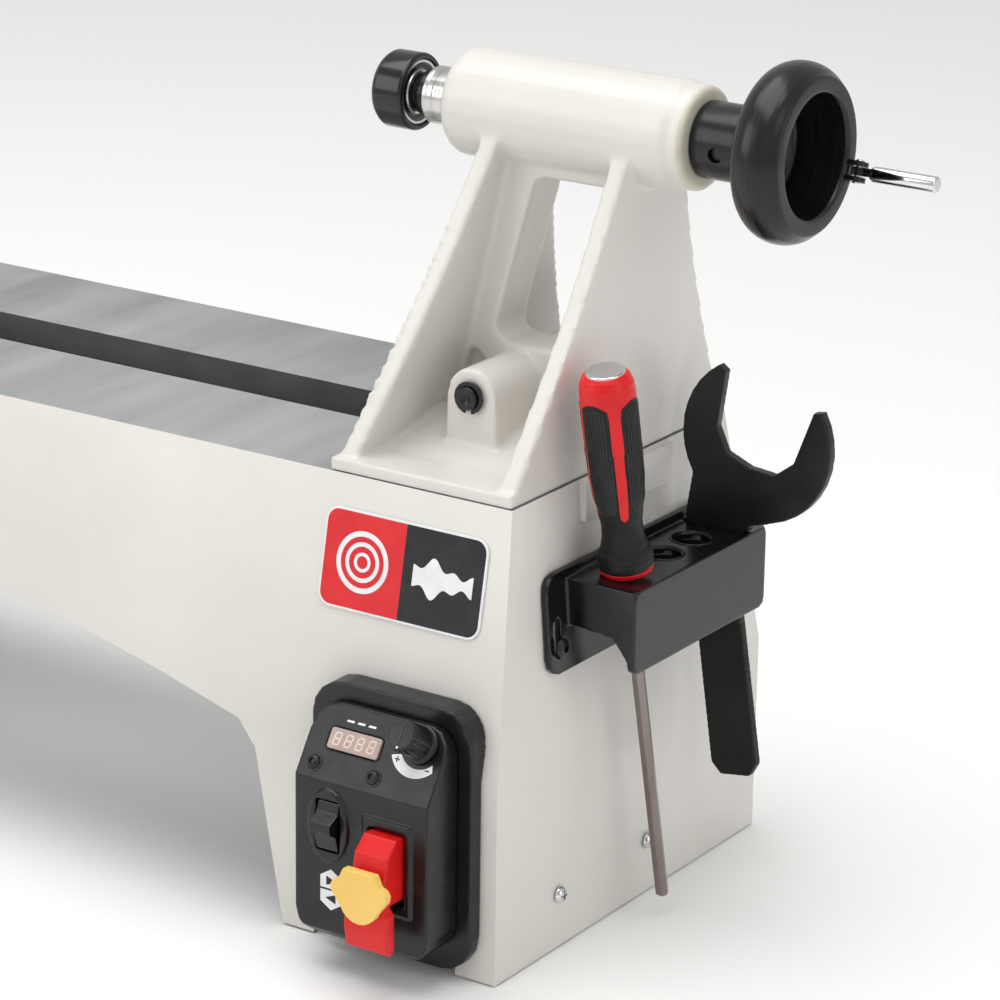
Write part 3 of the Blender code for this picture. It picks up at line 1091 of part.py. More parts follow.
def build_switches():
    x, z = ROCKER
    y = BOX_FRONT
    rocker = [(y + 0.003, z - 0.0110), (y - 0.0015, z - 0.0118), (y - 0.0035, z - 0.0040),
              (y - 0.0080, z - 0.0010)]
    rocker += [(y - 0.0080, z + 0.0035), (y - 0.0020, z + 0.0065), (y - 0.0002, z + 0.0118),
               (y + 0.003, z + 0.0110)]
    make_object("direction_rocker", prism(rocker, "X", x - 0.0060, x + 0.0060), BLACK_PLASTIC,
                (x, y + 0.002, z))
    x, z = SWITCH
    top = z + 0.0165
    side = [(y + 0.004, top), (y - 0.0060, top + 0.0005), (y - 0.0130, top - 0.0060),
            (y - 0.0165, top - 0.0200)]
    side += [(y - 0.0180, top - 0.0420), (y - 0.0160, top - 0.0515), (y - 0.0125, top - 0.0535)]
    side += [(y - 0.0100, top - 0.0500), (y - 0.0105, top - 0.0300), (y - 0.0050, top - 0.0300),
             (y + 0.004, top - 0.0300)]
    paddle = make_object("switch_paddle", prism(side, "X", x - 0.0115, x + 0.0115), RED,
                         (x, y + 0.001, top - 0.002))
    for sign in (-1, 1):
        trim = [(x + sign * 0.0090, top + 0.01), (x + sign * 0.0090, top - 0.0300),
                (x + sign * 0.0130, top - 0.0360)]
        trim += [(x + sign * 0.0130, top + 0.01)]
        cut(paddle, prism(trim, "Y", y - CLEAR, y + 0.05))
    fuse(paddle, rod("X", (0, y + 0.0015, top - 0.0030), x - 0.0097, x + 0.0097, 0.0014, 12))
    key_y = y - 0.0186
    key_z = top - 0.0260
    slot = 0.0035 + RUN
    cut(paddle, block((x - slot, y - CLEAR, key_z - 0.002 - RUN), (x + slot, key_y + 0.0062,
                                                                   key_z + 0.002 + RUN)))
    outline = arc((x, top - 0.0260), 0.0105, 200, 340, 8)
    outline += arc((x + 0.0110, top - 0.0210), 0.0045, -30, 90, 3)
    outline += [(x + 0.0085, top - 0.0110), (x - 0.0085, top - 0.0110)]
    outline += arc((x - 0.0110, top - 0.0210), 0.0045, 90, 210, 3)
    key = make_object("safety_key", prism(outline, "Y", key_y - 0.0045, key_y), YELLOW, (x, key_y, key_z))
    fuse(key, block((x - 0.0035, key_y - 0.001, key_z - 0.002), (x + 0.0035, key_y + 0.0058,
                                                                 key_z + 0.002)))


# ---------------------------------------------------------------- tool holder and its tools
DRIVER_SPOT = Vector((0.027, -0.037, HOLDER_TOP - 0.002))
DRIVER_DOWN = Vector((0.026, 0.184, -0.9826)).normalized()
WRENCH_Y = 0.046
HOLDER_FRONT = 0.003 + HOLDER_DEPTH
SHELF = 0.004
HOLDER_BACK = 0.0040             # thickness of the back plate
HOLDER_SLOT_X = 0.0085           # inner end of the wrench slot
WRENCH_LEAN = 0.150              # how far the handle runs out for each unit down


def build_holder():
    half = HOLDER_WIDTH / 2
    top, bottom = HOLDER_TOP, HOLDER_TOP - HOLDER_HEIGHT
    plate_top, plate_bottom = top + 0.004, bottom - 0.004
    back = [(bed_end_x(plate_top) + GAP, plate_top), (bed_end_x(plate_top) + HOLDER_BACK, plate_top)]
    back += [(bed_end_x(plate_bottom) + HOLDER_BACK, plate_bottom),
             (bed_end_x(plate_bottom) + GAP, plate_bottom)]
    holder = make_object("tool_holder", prism(back, "Y", -half - 0.016, half + 0.016), BLACK_PLASTIC)
    view = rounded_outline((-half - 0.016, plate_bottom), (half + 0.016, plate_top), 0.008, 3)
    keep_inside(holder, prism(view, "X", -0.01, 0.05))
    root = bed_end_x(top) + 0.002
    fuse(holder, block((root, -half, top - SHELF), (HOLDER_FRONT - 0.001, half, top)))
    wall = prism(rounded_outline((-half, bottom), (half, top), 0.004, 2), "X", HOLDER_FRONT - 0.004,
                 HOLDER_FRONT)
    fuse(holder, wall)
    for side in (-1, 1):
        cheek = [(root, top - 0.001), (HOLDER_FRONT - 0.001, top - 0.001),
                 (HOLDER_FRONT - 0.001, bottom + 0.002)]
        cheek += [(HOLDER_FRONT - 0.012, bottom + 0.016), (bed_end_x(bottom) + 0.002, bottom + 0.018)]
        low, high = sorted((side * half, side * (half - 0.003)))
        fuse(holder, prism(cheek, "Y", low, high))
    for y, radius in ((DRIVER_SPOT.y, 0.0085), (-0.004, 0.0090), (0.022, 0.0090)):
        cut(holder, rod("Z", (0.0255, y, 0), top - CLEAR, top + CLEAR, radius, ROUND // 2))
    cut(holder, block((HOLDER_SLOT_X, WRENCH_Y - 0.0045, top - 0.015), (HOLDER_FRONT - 0.0045,
                                                                        WRENCH_Y + 0.0045, top + CLEAR)))
    for side in (-1, 1):
        y = side * (half + 0.0085)
        slot = arc((y, plate_bottom + 0.011), 0.0028, 180, 360, 6) + arc((y, plate_bottom + 0.024),
                                                                         0.0028, 0, 180, 6)
        cut(holder, prism(slot, "X", -0.02, 0.03))
        name = "holder_screw_front" if side < 0 else "holder_screw_rear"
        face = bed_end_x(plate_bottom) + HOLDER_BACK + GAP
        shank = bed_end_x(plate_bottom) + GAP
        head = [(shank, 0.0), (shank, 0.0022), (face, 0.0022), (face, 0.0046), (face + 0.0012, 0.0044)]
        head += [(face + 0.0027, 0.0028), (face + 0.0030, 0.0)]
        make_object(name, turned(head, "X", (0, y, plate_bottom + 0.0135), SMALL), BLACK_STEEL)


def along_driver(bm):
    """Lay a piece drawn up the Z axis from the origin along the leaning driver."""
    up = -DRIVER_DOWN
    matrix = Matrix.Translation(DRIVER_SPOT) @ up.to_track_quat("Z", "Y").to_matrix().to_4x4()
    bmesh.ops.transform(bm, matrix=matrix, verts=bm.verts)
    return bm


def build_driver():
    start = 0.0047
    grip = [(start, 0.0), (start, 0.0122), (start + 0.008, 0.0126), (start + 0.013, 0.0108),
            (start + 0.024, 0.0096)]
    grip += [(start + 0.034, 0.0112), (start + 0.050, 0.0128), (start + 0.090, DRIVER_R),
             (start + 0.097, 0.0120)]
    grip += [(start + 0.100, 0.0100), (start + 0.100, 0.0)]
    handle = make_object("driver_handle", along_driver(turned(grip, "Z", (0, 0, 0), 24)), RED,
                         DRIVER_SPOT)
    socket = along_driver(rod("Z", (0, 0, 0), -CLEAR, start + 0.030, SHAFT_R + GAP, 6))
    cut(handle, socket)
    shaft = [(-0.172, 0.0), (-0.172, SHAFT_R - 0.001), (-0.171, SHAFT_R), (start + 0.029, SHAFT_R),
             (start + 0.029, 0.0)]
    make_object("driver_shaft", along_driver(turned(shaft, "Z", (0, 0, 0), 6)), GREY_SHAFT, DRIVER_SPOT)


def wrench_outline():
    """Open-end wrench seen from the front: a leaning handle, shoulders on the shelf and an offset head."""
    head = Vector((0.046, HOLDER_TOP + 0.046))
    top = Vector((0.0222, HOLDER_TOP))
    foot = Vector((top.x + WRENCH_LEAN * 0.118, HOLDER_TOP - 0.118))
    down = (foot - top).normalized()
    across = Vector((-down.y, down.x))
    slim = 0.0125
    outline = [foot - across * slim, foot - across * 0.008 + down * 0.006,
               foot + across * 0.008 + down * 0.006]
    outline += [foot + across * slim, top + across * slim + Vector((0.0, -0.006))]
    outline += [(0.0400, HOLDER_TOP - 0.001), (0.0401, HOLDER_TOP + 0.0004),
                (0.0430, HOLDER_TOP + 0.0004)]
    outline.append((0.0440, HOLDER_TOP + 0.004))
    tilt = 14
    right = arc(head, WRENCH_R - 0.003, -62 - tilt, 44 - tilt, 10)
    left = arc(head, WRENCH_R - 0.003, 136 - tilt, 226 - tilt, 9)
    jaw_half = 0.0215
    turn_by = Matrix.Rotation(math.radians(-tilt), 2)
    jaw = [(jaw_half + 0.003, 0.026), (jaw_half, -0.002), (jaw_half - 0.008, -0.012), (0.0, -0.014)]
    jaw += [(-jaw_half + 0.008, -0.012), (-jaw_half, -0.002), (-jaw_half - 0.003, 0.026)]
    throat = [head + turn_by @ Vector(p) for p in jaw]
    neck = [(0.0092, HOLDER_TOP + 0.006), (0.0090, HOLDER_TOP + 0.001), (0.0092, HOLDER_TOP - 0.0002)]
    return [tuple(p) for p in outline] + right + [tuple(p) for p in throat] + left + neck


def build_wrench():
    half = WRENCH_THICKNESS / 2
    make_object("spindle_wrench", prism(wrench_outline(), "Y", WRENCH_Y - half, WRENCH_Y + half),
                BLACK_STEEL,
                (0.0222, WRENCH_Y, HOLDER_TOP))


def build_power_inlet():
    """The mains inlet on the rear of the left leg."""
    x = 2 * MIDDLE_X + 0.060
    z = 0.055
    y = HALF_BASE + GAP
    inlet = make_object("power_inlet", block((x - 0.024, y, z - 0.014), (x + 0.024, y + 0.006,
                                                                         z + 0.014)), BLACK_PLASTIC)
    cut(inlet, block((x - 0.012, y + 0.002, z - 0.009), (x + 0.012, y + 0.02, z + 0.009)))


def build_all():
    build_bed()
    build_end_screws()
    build_badge()
    build_headstock()
    build_bearings()
    build_spindle()
    build_pulleys()
    build_belt()
    build_motor()
    build_tension_lever()
    build_belt_door()
    build_index_pin()
    build_spindle_handwheel()
    build_spur_centre()
    build_tailstock()
    build_cam()
    build_tail_clamp()
    build_quill()
    build_live_centre()
    build_handwheel()
    build_crank_handle()
    build_quill_lock()
    build_banjo()
    build_banjo_clamp()
    build_tool_rest()
    build_control_box()
    build_speed_knob()
    build_switches()
    build_holder()
    build_driver()
    build_wrench()
    build_power_inlet()


def centre_footprint():
    """Move the frame so that the origin is the middle of the machine's footprint."""
    bpy.context.view_layer.update()
    corners = [obj.matrix_world @ vert.co for obj in LATHE.children for vert in obj.data.vertices]
    low = [min(c[i] for c in corners) for i in range(3)]
    high = [max(c[i] for c in corners) for i in range(3)]
    LATHE.location = (-(low[0] + high[0]) / 2, -(low[1] + high[1]) / 2, -low[2])
    bpy.context.view_layer.update()


build_all()
centre_footprint()
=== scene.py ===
# %% [markdown]
# # Dressing a bench-top wood lathe
# The machine's frame comes ready made: sixty solids, each riding on a body that slides, turns or
# stays put. This lesson gives every one of them its real surface. We load the frame first. Nothing
# we add may make the machine bigger.

# %% load the frame
import json
import math

import bmesh
import bpy
from mathutils import Matrix, Vector

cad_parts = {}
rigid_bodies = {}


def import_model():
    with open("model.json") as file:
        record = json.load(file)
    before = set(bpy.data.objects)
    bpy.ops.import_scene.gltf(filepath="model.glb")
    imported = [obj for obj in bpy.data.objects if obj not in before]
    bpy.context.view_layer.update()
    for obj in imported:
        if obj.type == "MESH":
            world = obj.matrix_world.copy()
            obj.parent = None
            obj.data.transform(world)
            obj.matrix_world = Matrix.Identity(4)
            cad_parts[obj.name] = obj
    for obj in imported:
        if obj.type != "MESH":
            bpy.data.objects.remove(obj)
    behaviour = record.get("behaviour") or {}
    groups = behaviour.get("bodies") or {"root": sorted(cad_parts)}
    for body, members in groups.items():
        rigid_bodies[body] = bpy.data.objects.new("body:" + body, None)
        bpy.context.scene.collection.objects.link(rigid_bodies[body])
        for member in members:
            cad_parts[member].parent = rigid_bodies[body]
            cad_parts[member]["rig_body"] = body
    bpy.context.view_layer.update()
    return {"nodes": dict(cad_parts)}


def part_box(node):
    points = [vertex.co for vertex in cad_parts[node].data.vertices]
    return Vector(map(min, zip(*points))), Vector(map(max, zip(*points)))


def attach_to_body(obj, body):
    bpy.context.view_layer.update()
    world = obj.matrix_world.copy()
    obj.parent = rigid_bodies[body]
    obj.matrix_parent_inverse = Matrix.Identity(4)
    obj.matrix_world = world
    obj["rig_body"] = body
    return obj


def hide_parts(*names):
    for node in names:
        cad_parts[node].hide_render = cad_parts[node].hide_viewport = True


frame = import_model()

NODES = frame["nodes"]
MM = 0.001

# %% [markdown]
# ## The camera
# A product picture of a long machine is taken from well away with a long lens, so that the bed
# stays straight and the near end doesn't balloon. The camera is placed by its own numbers: where it
# stands, how far round it has walked, how far it looks down and how much it leans.

# %% camera
CAMERA_PLACE = Vector((1.3141, -1.4963, 0.7989))
CAMERA_ROUND = math.radians(33.46)
CAMERA_DOWN = math.radians(18.64)
CAMERA_ROLL = math.radians(0.84)
CAMERA_LENS = 144.0


def camera_turn():
    """Rotation whose columns are the picture's right, its up and the way back from the subject."""
    ahead = Vector((-math.sin(CAMERA_ROUND) * math.cos(CAMERA_DOWN),
                    math.cos(CAMERA_ROUND) * math.cos(CAMERA_DOWN), -math.sin(CAMERA_DOWN)))
    level = Vector((math.cos(CAMERA_ROUND), math.sin(CAMERA_ROUND), 0.0))
    over = level.cross(ahead)
    right = level * math.cos(CAMERA_ROLL) + over * math.sin(CAMERA_ROLL)
    up = over * math.cos(CAMERA_ROLL) - level * math.sin(CAMERA_ROLL)
    return Matrix((right, up, -ahead)).transposed()


camera_data = bpy.data.cameras.new("camera")
camera_data.lens = CAMERA_LENS
camera_data.sensor_width = 36.0
camera_data.clip_end = 50.0
camera = bpy.data.objects.new("camera", camera_data)
camera.matrix_world = Matrix.Translation(CAMERA_PLACE) @ camera_turn().to_4x4()
bpy.context.scene.collection.objects.link(camera)
bpy.context.scene.camera = camera
print("camera stands", [round(v, 2) for v in CAMERA_PLACE])

# %% [markdown]
# ## Studio floor and lights
# White paint shows its shape only if the light comes more from one side than from the other, and
# black parts only through what they reflect. So three large soft panels hang round the machine: a
# strong one above, one to the left of the camera and a weak one at the right. A pale sky fills in.

# %% floor, sky and soft lights
MIDDLE = Vector((0.25, 0.0, 0.22))
PALE = (0.93, 0.93, 0.92)


def pale_floor():
    mesh = bpy.data.meshes.new("floor")
    reach = 12.0
    corners = [(-reach, -reach, -MM), (reach, -reach, -MM), (reach, reach, -MM), (-reach, reach, -MM)]
    mesh.from_pydata(corners, [], [(0, 1, 2, 3)])
    material = bpy.data.materials.new("floor_paper")
    material.use_nodes = True
    shader = material.node_tree.nodes["Principled BSDF"]
    shader.inputs["Base Color"].default_value = (*PALE, 1.0)
    shader.inputs["Roughness"].default_value = 0.9
    mesh.materials.append(material)
    floor = bpy.data.objects.new("floor", mesh)
    bpy.context.scene.collection.objects.link(floor)


def soft_light(name, place, width, height, power):
    data = bpy.data.lights.new(name, "AREA")
    data.shape = "RECTANGLE"
    data.size, data.size_y, data.energy = width, height, power
    light = bpy.data.objects.new(name, data)
    light.location = place
    light.rotation_euler = (MIDDLE - Vector(place)).to_track_quat("-Z", "Y").to_euler()
    bpy.context.scene.collection.objects.link(light)


pale_floor()
soft_light("light_above", (0.1, -0.3, 2.3), 2.4, 1.6, 34.0)
soft_light("light_left", (-1.3, -2.1, 1.3), 1.6, 1.6, 15.0)
soft_light("light_right", (2.4, -0.3, 1.1), 1.2, 1.8, 6.0)
sky = bpy.data.worlds.new("studio_sky")
sky.use_nodes = True
sky.node_tree.nodes["Background"].inputs["Color"].default_value = (1.0, 1.0, 1.0, 1.0)
sky.node_tree.nodes["Background"].inputs["Strength"].default_value = 0.62
bpy.context.scene.world = sky
bpy.context.scene.view_settings.view_transform = "Standard"

# %% [markdown]
# ## Finishes
# Every finish here is one recipe with different amounts: a blotchy noise picks between a dark and a
# light colour, a second one moves the roughness, and a few more are added up as relief. Stretching a
# noise along one direction turns it into grinding or turning marks. Writing the recipe once keeps
# the enamel, the ground iron and the moulded plastics in one family.

# %% the recipe
def noise(tree, scale, stretch=(1.0, 1.0, 1.0), detail=4.0):
    """A noise on object coordinates, pulled out along the axes whose stretch is small."""
    place = tree.nodes.new("ShaderNodeTexCoord")
    mapping = tree.nodes.new("ShaderNodeMapping")
    mapping.inputs["Scale"].default_value = stretch
    texture = tree.nodes.new("ShaderNodeTexNoise")
    texture.inputs["Scale"].default_value = scale
    texture.inputs["Detail"].default_value = detail
    tree.links.new(place.outputs["Object"], mapping.inputs["Vector"])
    tree.links.new(mapping.outputs["Vector"], texture.inputs["Vector"])
    return texture.outputs["Fac"]


def spread(tree, value, low, high, start=0.3, stop=0.7):
    """Maps a noise onto a range of numbers."""
    ranged = tree.nodes.new("ShaderNodeMapRange")
    ranged.inputs["From Min"].default_value = start
    ranged.inputs["From Max"].default_value = stop
    ranged.inputs["To Min"].default_value = low
    ranged.inputs["To Max"].default_value = high
    tree.links.new(value, ranged.inputs["Value"])
    return ranged.outputs["Result"]


def surface(name, dark, light, roughness, metallic=0.0, blotch=(30.0, (1, 1, 1)), relief=(), **sockets):
    """A finish: two colours, a roughness range, and relief as (scale, stretch, height in mm)."""
    material = bpy.data.materials.new(name)
    material.use_nodes = True
    tree = material.node_tree
    shader = tree.nodes["Principled BSDF"]
    ramp = tree.nodes.new("ShaderNodeValToRGB")
    ramp.color_ramp.elements[0].position = 0.3
    ramp.color_ramp.elements[1].position = 0.7
    ramp.color_ramp.elements[0].color = (*dark, 1.0)
    ramp.color_ramp.elements[1].color = (*light, 1.0)
    tree.links.new(noise(tree, *blotch), ramp.inputs["Fac"])
    tree.links.new(ramp.outputs["Color"], shader.inputs["Base Color"])
    tree.links.new(spread(tree, noise(tree, blotch[0] * 2.3, blotch[1]), *roughness),
                   shader.inputs["Roughness"])
    shader.inputs["Metallic"].default_value = metallic
    for socket, value in sockets.items():
        shader.inputs[socket.replace("_", " ")].default_value = value
    normal = None
    for scale, stretch, height in relief:
        bump = tree.nodes.new("ShaderNodeBump")
        bump.inputs["Strength"].default_value = 1.0
        bump.inputs["Distance"].default_value = height * MM
        tree.links.new(noise(tree, scale, stretch, 2.0), bump.inputs["Height"])
        if normal is not None:
            tree.links.new(normal, bump.inputs["Normal"])
        normal = bump.outputs["Normal"]
    if normal is not None:
        tree.links.new(normal, shader.inputs["Normal"])
    return material


# %% [markdown]
# ### Paints, metals and plastics
# The castings wear cream enamel over iron that was never smooth, so the paint is glossy but gently
# pebbled. The ways are ground, which leaves fine lines. Turned steel has lines that run round it,
# which is a noise that changes quickly only along the machine's axis.

# %% paints and castings
ROUND_X = (1.0, 0.02, 0.02)      # lines that run round a shaft lying along X
CREAM = surface("cream_enamel", (0.655, 0.630, 0.590), (0.715, 0.690, 0.650), (0.30, 0.46), 0.0,
                (9.0, (1, 1, 1)),
                [(38.0, (1, 1, 1), 0.55), (210.0, (1, 1, 1), 0.09)], Coat_Weight=0.25, Coat_Roughness=0.2)
SMOOTH_CREAM = surface("cream_enamel_on_sheet", (0.66, 0.635, 0.595), (0.71, 0.685, 0.645), (0.28, 0.38),
                       0.0,
                       (7.0, (1, 1, 1)), [(260.0, (1, 1, 1), 0.03)], Coat_Weight=0.25, Coat_Roughness=0.2)
BARE_RING = surface("faced_end_ring", (0.62, 0.575, 0.47), (0.72, 0.68, 0.58), (0.35, 0.5), 0.0,
                    (60.0, (1, 1, 1)),
                    [(300.0, (1, 1, 1), 0.05)])
# Painted shade: near-black for the dark hollow inside the bed and the walls of its slot, where little
# light reaches.
PAINTED_SHADE_INSIDE = surface("painted_shade_inside_castings", (0.045, 0.047, 0.048), (0.075, 0.077, 0.078), (0.6, 0.8), 0.0,
                 (25.0, (1, 1, 1)), [(90.0, (1, 1, 1), 0.3)])
GROUND = surface("ground_iron", (0.30, 0.31, 0.31), (0.42, 0.43, 0.43), (0.36, 0.50), 0.35,
                 (40.0, (1.0, 0.12, 1.0)),
                 [(900.0, (1.0, 0.03, 1.0), 0.012), (1400.0, (0.03, 1.0, 1.0), 0.006)])

# %% metals
TURNED_STEEL = surface("turned_steel", (0.50, 0.49, 0.47), (0.66, 0.65, 0.63), (0.16, 0.30), 1.0,
                       (600.0, ROUND_X),
                       [(1500.0, ROUND_X, 0.004)])
PLAIN_STEEL = surface("zinc_plated_steel", (0.45, 0.45, 0.44), (0.60, 0.60, 0.58), (0.25, 0.42), 1.0,
                      (60.0, (1, 1, 1)),
                      [(500.0, (1, 1, 1), 0.01)])
CHROME = surface("chrome_plate", (0.66, 0.67, 0.68), (0.78, 0.78, 0.78), (0.06, 0.14), 1.0,
                 (80.0, (1, 1, 1)))
ALUMINIUM = surface("cast_aluminium", (0.48, 0.48, 0.48), (0.62, 0.62, 0.62), (0.30, 0.48), 1.0,
                    (60.0, (1, 1, 1)),
                    [(300.0, (1, 1, 1), 0.03)])
BLACK_TURNED = surface("black_anodised_turning", (0.004, 0.004, 0.0045), (0.010, 0.010, 0.011),
                       (0.20, 0.30), 0.0,
                       (300.0, ROUND_X), [(1200.0, ROUND_X, 0.003)], Specular_IOR_Level=0.4)
GLOSS_BLACK = surface("gloss_black_cup", (0.003, 0.004, 0.005), (0.007, 0.008, 0.009), (0.12, 0.20), 0.0,
                      (200.0, ROUND_X), [(900.0, ROUND_X, 0.002)], Specular_IOR_Level=0.5)
BLACK_OXIDE = surface("black_oxide_steel", (0.006, 0.007, 0.0075), (0.018, 0.020, 0.021), (0.30, 0.48),
                      0.0,
                      (28.0, (1, 1, 1)), [(160.0, (1, 1, 1), 0.04), (700.0, (1, 1, 1), 0.01)],
                      Specular_IOR_Level=0.4)
BRONZE_GREY = surface("bronze_grey_shaft", (0.20, 0.165, 0.155), (0.33, 0.285, 0.27), (0.28, 0.42), 0.85,
                      (40.0, (1, 1, 0.15)), [(600.0, (1, 1, 0.05), 0.008)])

# %% plastics and rubber
BLACK_PLASTIC = surface("grained_black_plastic", (0.004, 0.0045, 0.005), (0.009, 0.010, 0.011),
                        (0.26, 0.36), 0.0,
                        (50.0, (1, 1, 1)), [(900.0, (1, 1, 1), 0.012)], Specular_IOR_Level=0.42)
GLOSS_PLASTIC = surface("smooth_black_plastic", (0.003, 0.003, 0.0035), (0.007, 0.007, 0.008),
                        (0.16, 0.26), 0.0,
                        (60.0, (1, 1, 1)), [(140.0, (1, 1, 1), 0.03)], Specular_IOR_Level=0.45)
GRIP_RUBBER = surface("dipped_rubber_grip", (0.003, 0.0035, 0.0035), (0.008, 0.009, 0.009), (0.42, 0.60),
                      0.0,
                      (50.0, (1, 1, 1)), [(350.0, (1, 1, 1), 0.02)], Specular_IOR_Level=0.3)
KNURL_RUBBER = surface("worn_knurl_tops", (0.012, 0.013, 0.013), (0.026, 0.028, 0.028), (0.30, 0.45), 0.0,
                       (120.0, (1, 1, 1)), [(900.0, (1, 1, 1), 0.01)])
RED_PLASTIC = surface("red_plastic", (0.62, 0.006, 0.008), (0.74, 0.012, 0.012), (0.28, 0.38), 0.0,
                      (40.0, (1, 1, 1)),
                      [(500.0, (1, 1, 1), 0.008)], Specular_IOR_Level=0.35)
YELLOW_PLASTIC = surface("yellow_plastic", (0.82, 0.52, 0.11), (0.90, 0.60, 0.16), (0.36, 0.48), 0.0,
                         (40.0, (1, 1, 1)),
                         [(600.0, (1, 1, 1), 0.012)])
WINDOW = surface("display_window", (0.33, 0.235, 0.20), (0.42, 0.31, 0.27), (0.16, 0.26), 0.0,
                 (90.0, (1, 1, 1)))
SEGMENTS = surface("unlit_segments", (0.64, 0.50, 0.45), (0.74, 0.60, 0.54), (0.4, 0.5), 0.0,
                   (300.0, (1, 1, 1)))
WHITE_INK = surface("white_print", (0.72, 0.73, 0.74), (0.82, 0.83, 0.84), (0.42, 0.55), 0.0,
                    (120.0, (1, 1, 1)))
BADGE_RED = surface("badge_red", (0.62, 0.010, 0.016), (0.72, 0.016, 0.020), (0.22, 0.32), 0.0,
                    (50.0, (1, 1, 1)))
BADGE_BLACK = surface("badge_black", (0.006, 0.006, 0.007), (0.014, 0.014, 0.015), (0.22, 0.32), 0.0,
                      (50.0, (1, 1, 1)))
print(len(bpy.data.materials), "finishes mixed")

# %% [markdown]
# ## Tools of the trade
# The frame's solids are faceted and hard edged. Three treatments make real surfaces of them. A
# piece with plain faces is copied, merged and gets its edges rounded. A casting or a moulding is
# wrapped in a fine even skin and smoothed, which leaves the small hollows a foundry pattern has in
# every inside corner. A turned piece is drawn again from its profile.

# %% helpers
def piece_from(name, mesh, *finishes):
    """An object that holds a mesh, with its finishes in order."""
    obj = bpy.data.objects.new(name, mesh)
    bpy.context.scene.collection.objects.link(obj)
    for finish in finishes:
        mesh.materials.append(finish)
    return obj


def settled(obj):
    """Turns an object's modifiers into a plain mesh and takes them off."""
    bpy.context.view_layer.update()
    mesh = bpy.data.meshes.new_from_object(obj.evaluated_get(bpy.context.evaluated_depsgraph_get()))
    old = obj.data
    obj.modifiers.clear()
    obj.data = mesh
    mesh.name = obj.name
    bpy.data.meshes.remove(old)
    return obj


def smooth(obj, degrees=35.0):
    """Smooth shading that keeps edges sharper than the given angle."""
    obj.data.shade_smooth()
    obj.data.set_sharp_from_angle(angle=math.radians(degrees))
    return obj


def dress(obj, node, *more):
    """The piece rides where its node rides, and stands for it and any others named."""
    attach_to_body(obj, NODES[node]["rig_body"])
    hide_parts(node, *more)
    return obj


def attach(obj, node):
    """A detail that rides with a node, and replaces nothing."""
    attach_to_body(obj, NODES[node]["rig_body"])
    return obj


def merged_copy(node):
    """A bmesh of a node with its loose triangles joined and flat regions dissolved."""
    bm = bmesh.new()
    bm.from_mesh(NODES[node].data)
    bmesh.ops.remove_doubles(bm, verts=bm.verts, dist=0.01 * MM)
    bmesh.ops.dissolve_limit(bm, angle_limit=math.radians(0.6), verts=bm.verts, edges=bm.edges)
    return bm


def rounded(node, *finishes, width=0.5, angle=28.0, sort=None):
    """Copies a node and rounds its edges. sort picks a finish for each face."""
    bm = merged_copy(node)
    if sort is not None:
        for face in bm.faces:
            face.material_index = sort(face.calc_center_median(), face.normal)
    mesh = bpy.data.meshes.new(f"{node}_fine")
    bm.to_mesh(mesh)
    bm.free()
    obj = piece_from(mesh.name, mesh)
    for finish in finishes:
        mesh.materials.append(finish)
    while len(mesh.materials) > len(finishes):
        mesh.materials.pop(index=0)
    mesh.shade_smooth()
    bevel = obj.modifiers.new("round_edges", "BEVEL")
    bevel.width = width * MM
    bevel.segments = 3
    bevel.limit_method = "ANGLE"
    bevel.angle_limit = math.radians(angle)
    bevel.harden_normals = True
    return dress(settled(obj), node)


def moulded(node, *finishes, faces=40000, rounds=6, sort=None):
    """Wraps a node in an even skin of about that many faces and smooths it."""
    bm = merged_copy(node)
    area = sum(face.calc_area() for face in bm.faces)
    mesh = bpy.data.meshes.new(f"{node}_fine")
    bm.to_mesh(mesh)
    bm.free()
    obj = piece_from(mesh.name, mesh)
    skin = obj.modifiers.new("skin", "REMESH")
    skin.mode = "VOXEL"
    skin.voxel_size = math.sqrt(area / faces)
    skin.use_smooth_shade = True
    relax = obj.modifiers.new("relax", "SMOOTH")
    relax.factor = 0.5
    relax.iterations = rounds
    print(f"{node}: skin of {skin.voxel_size / MM:.2f} mm")
    settled(obj)
    obj.data.materials.clear()
    for finish in finishes:
        obj.data.materials.append(finish)
    if sort is not None:
        for face in obj.data.polygons:
            face.material_index = sort(face.center, face.normal)
    obj.data.shade_smooth()
    return dress(obj, node)


# %% [markdown]
# ### A lathe made of nodes
# Handwheels, shafts, cups and knobs all follow one rule: a profile carried round an axis. A small
# node tree does the turning. A flat grid has one row for each step round and one column for each
# point of the profile, and every grid point looks up its own profile point and swings it round by
# its share of the circle. Merging by distance then closes the seam and the poles.

# %% node helpers
def new_tree(title, **inputs):
    """A geometry tree with a finish and named inputs, each a (socket kind, value)."""
    tree = bpy.data.node_groups.new(title, "GeometryNodeTree")
    tree.interface.new_socket("Shape", in_out="INPUT", socket_type="NodeSocketGeometry")
    for name, (kind, value) in inputs.items():
        socket = tree.interface.new_socket(name, in_out="INPUT", socket_type=f"NodeSocket{kind}")
        socket.default_value = value
    tree.interface.new_socket("Finish", in_out="INPUT", socket_type="NodeSocketMaterial")
    tree.interface.new_socket("Shape", in_out="OUTPUT", socket_type="NodeSocketGeometry")
    return tree, tree.nodes.new("NodeGroupInput")


def add(tree, kind, links=(), **settings):
    """Adds a node, sets what it is told and plugs in (input, output) pairs."""
    node = tree.nodes.new(kind)
    for name, value in settings.items():
        setattr(node, name, value)
    for socket, source in links:
        if isinstance(source, bpy.types.NodeSocket):
            tree.links.new(source, node.inputs[socket])
        else:
            node.inputs[socket].default_value = source
    return node


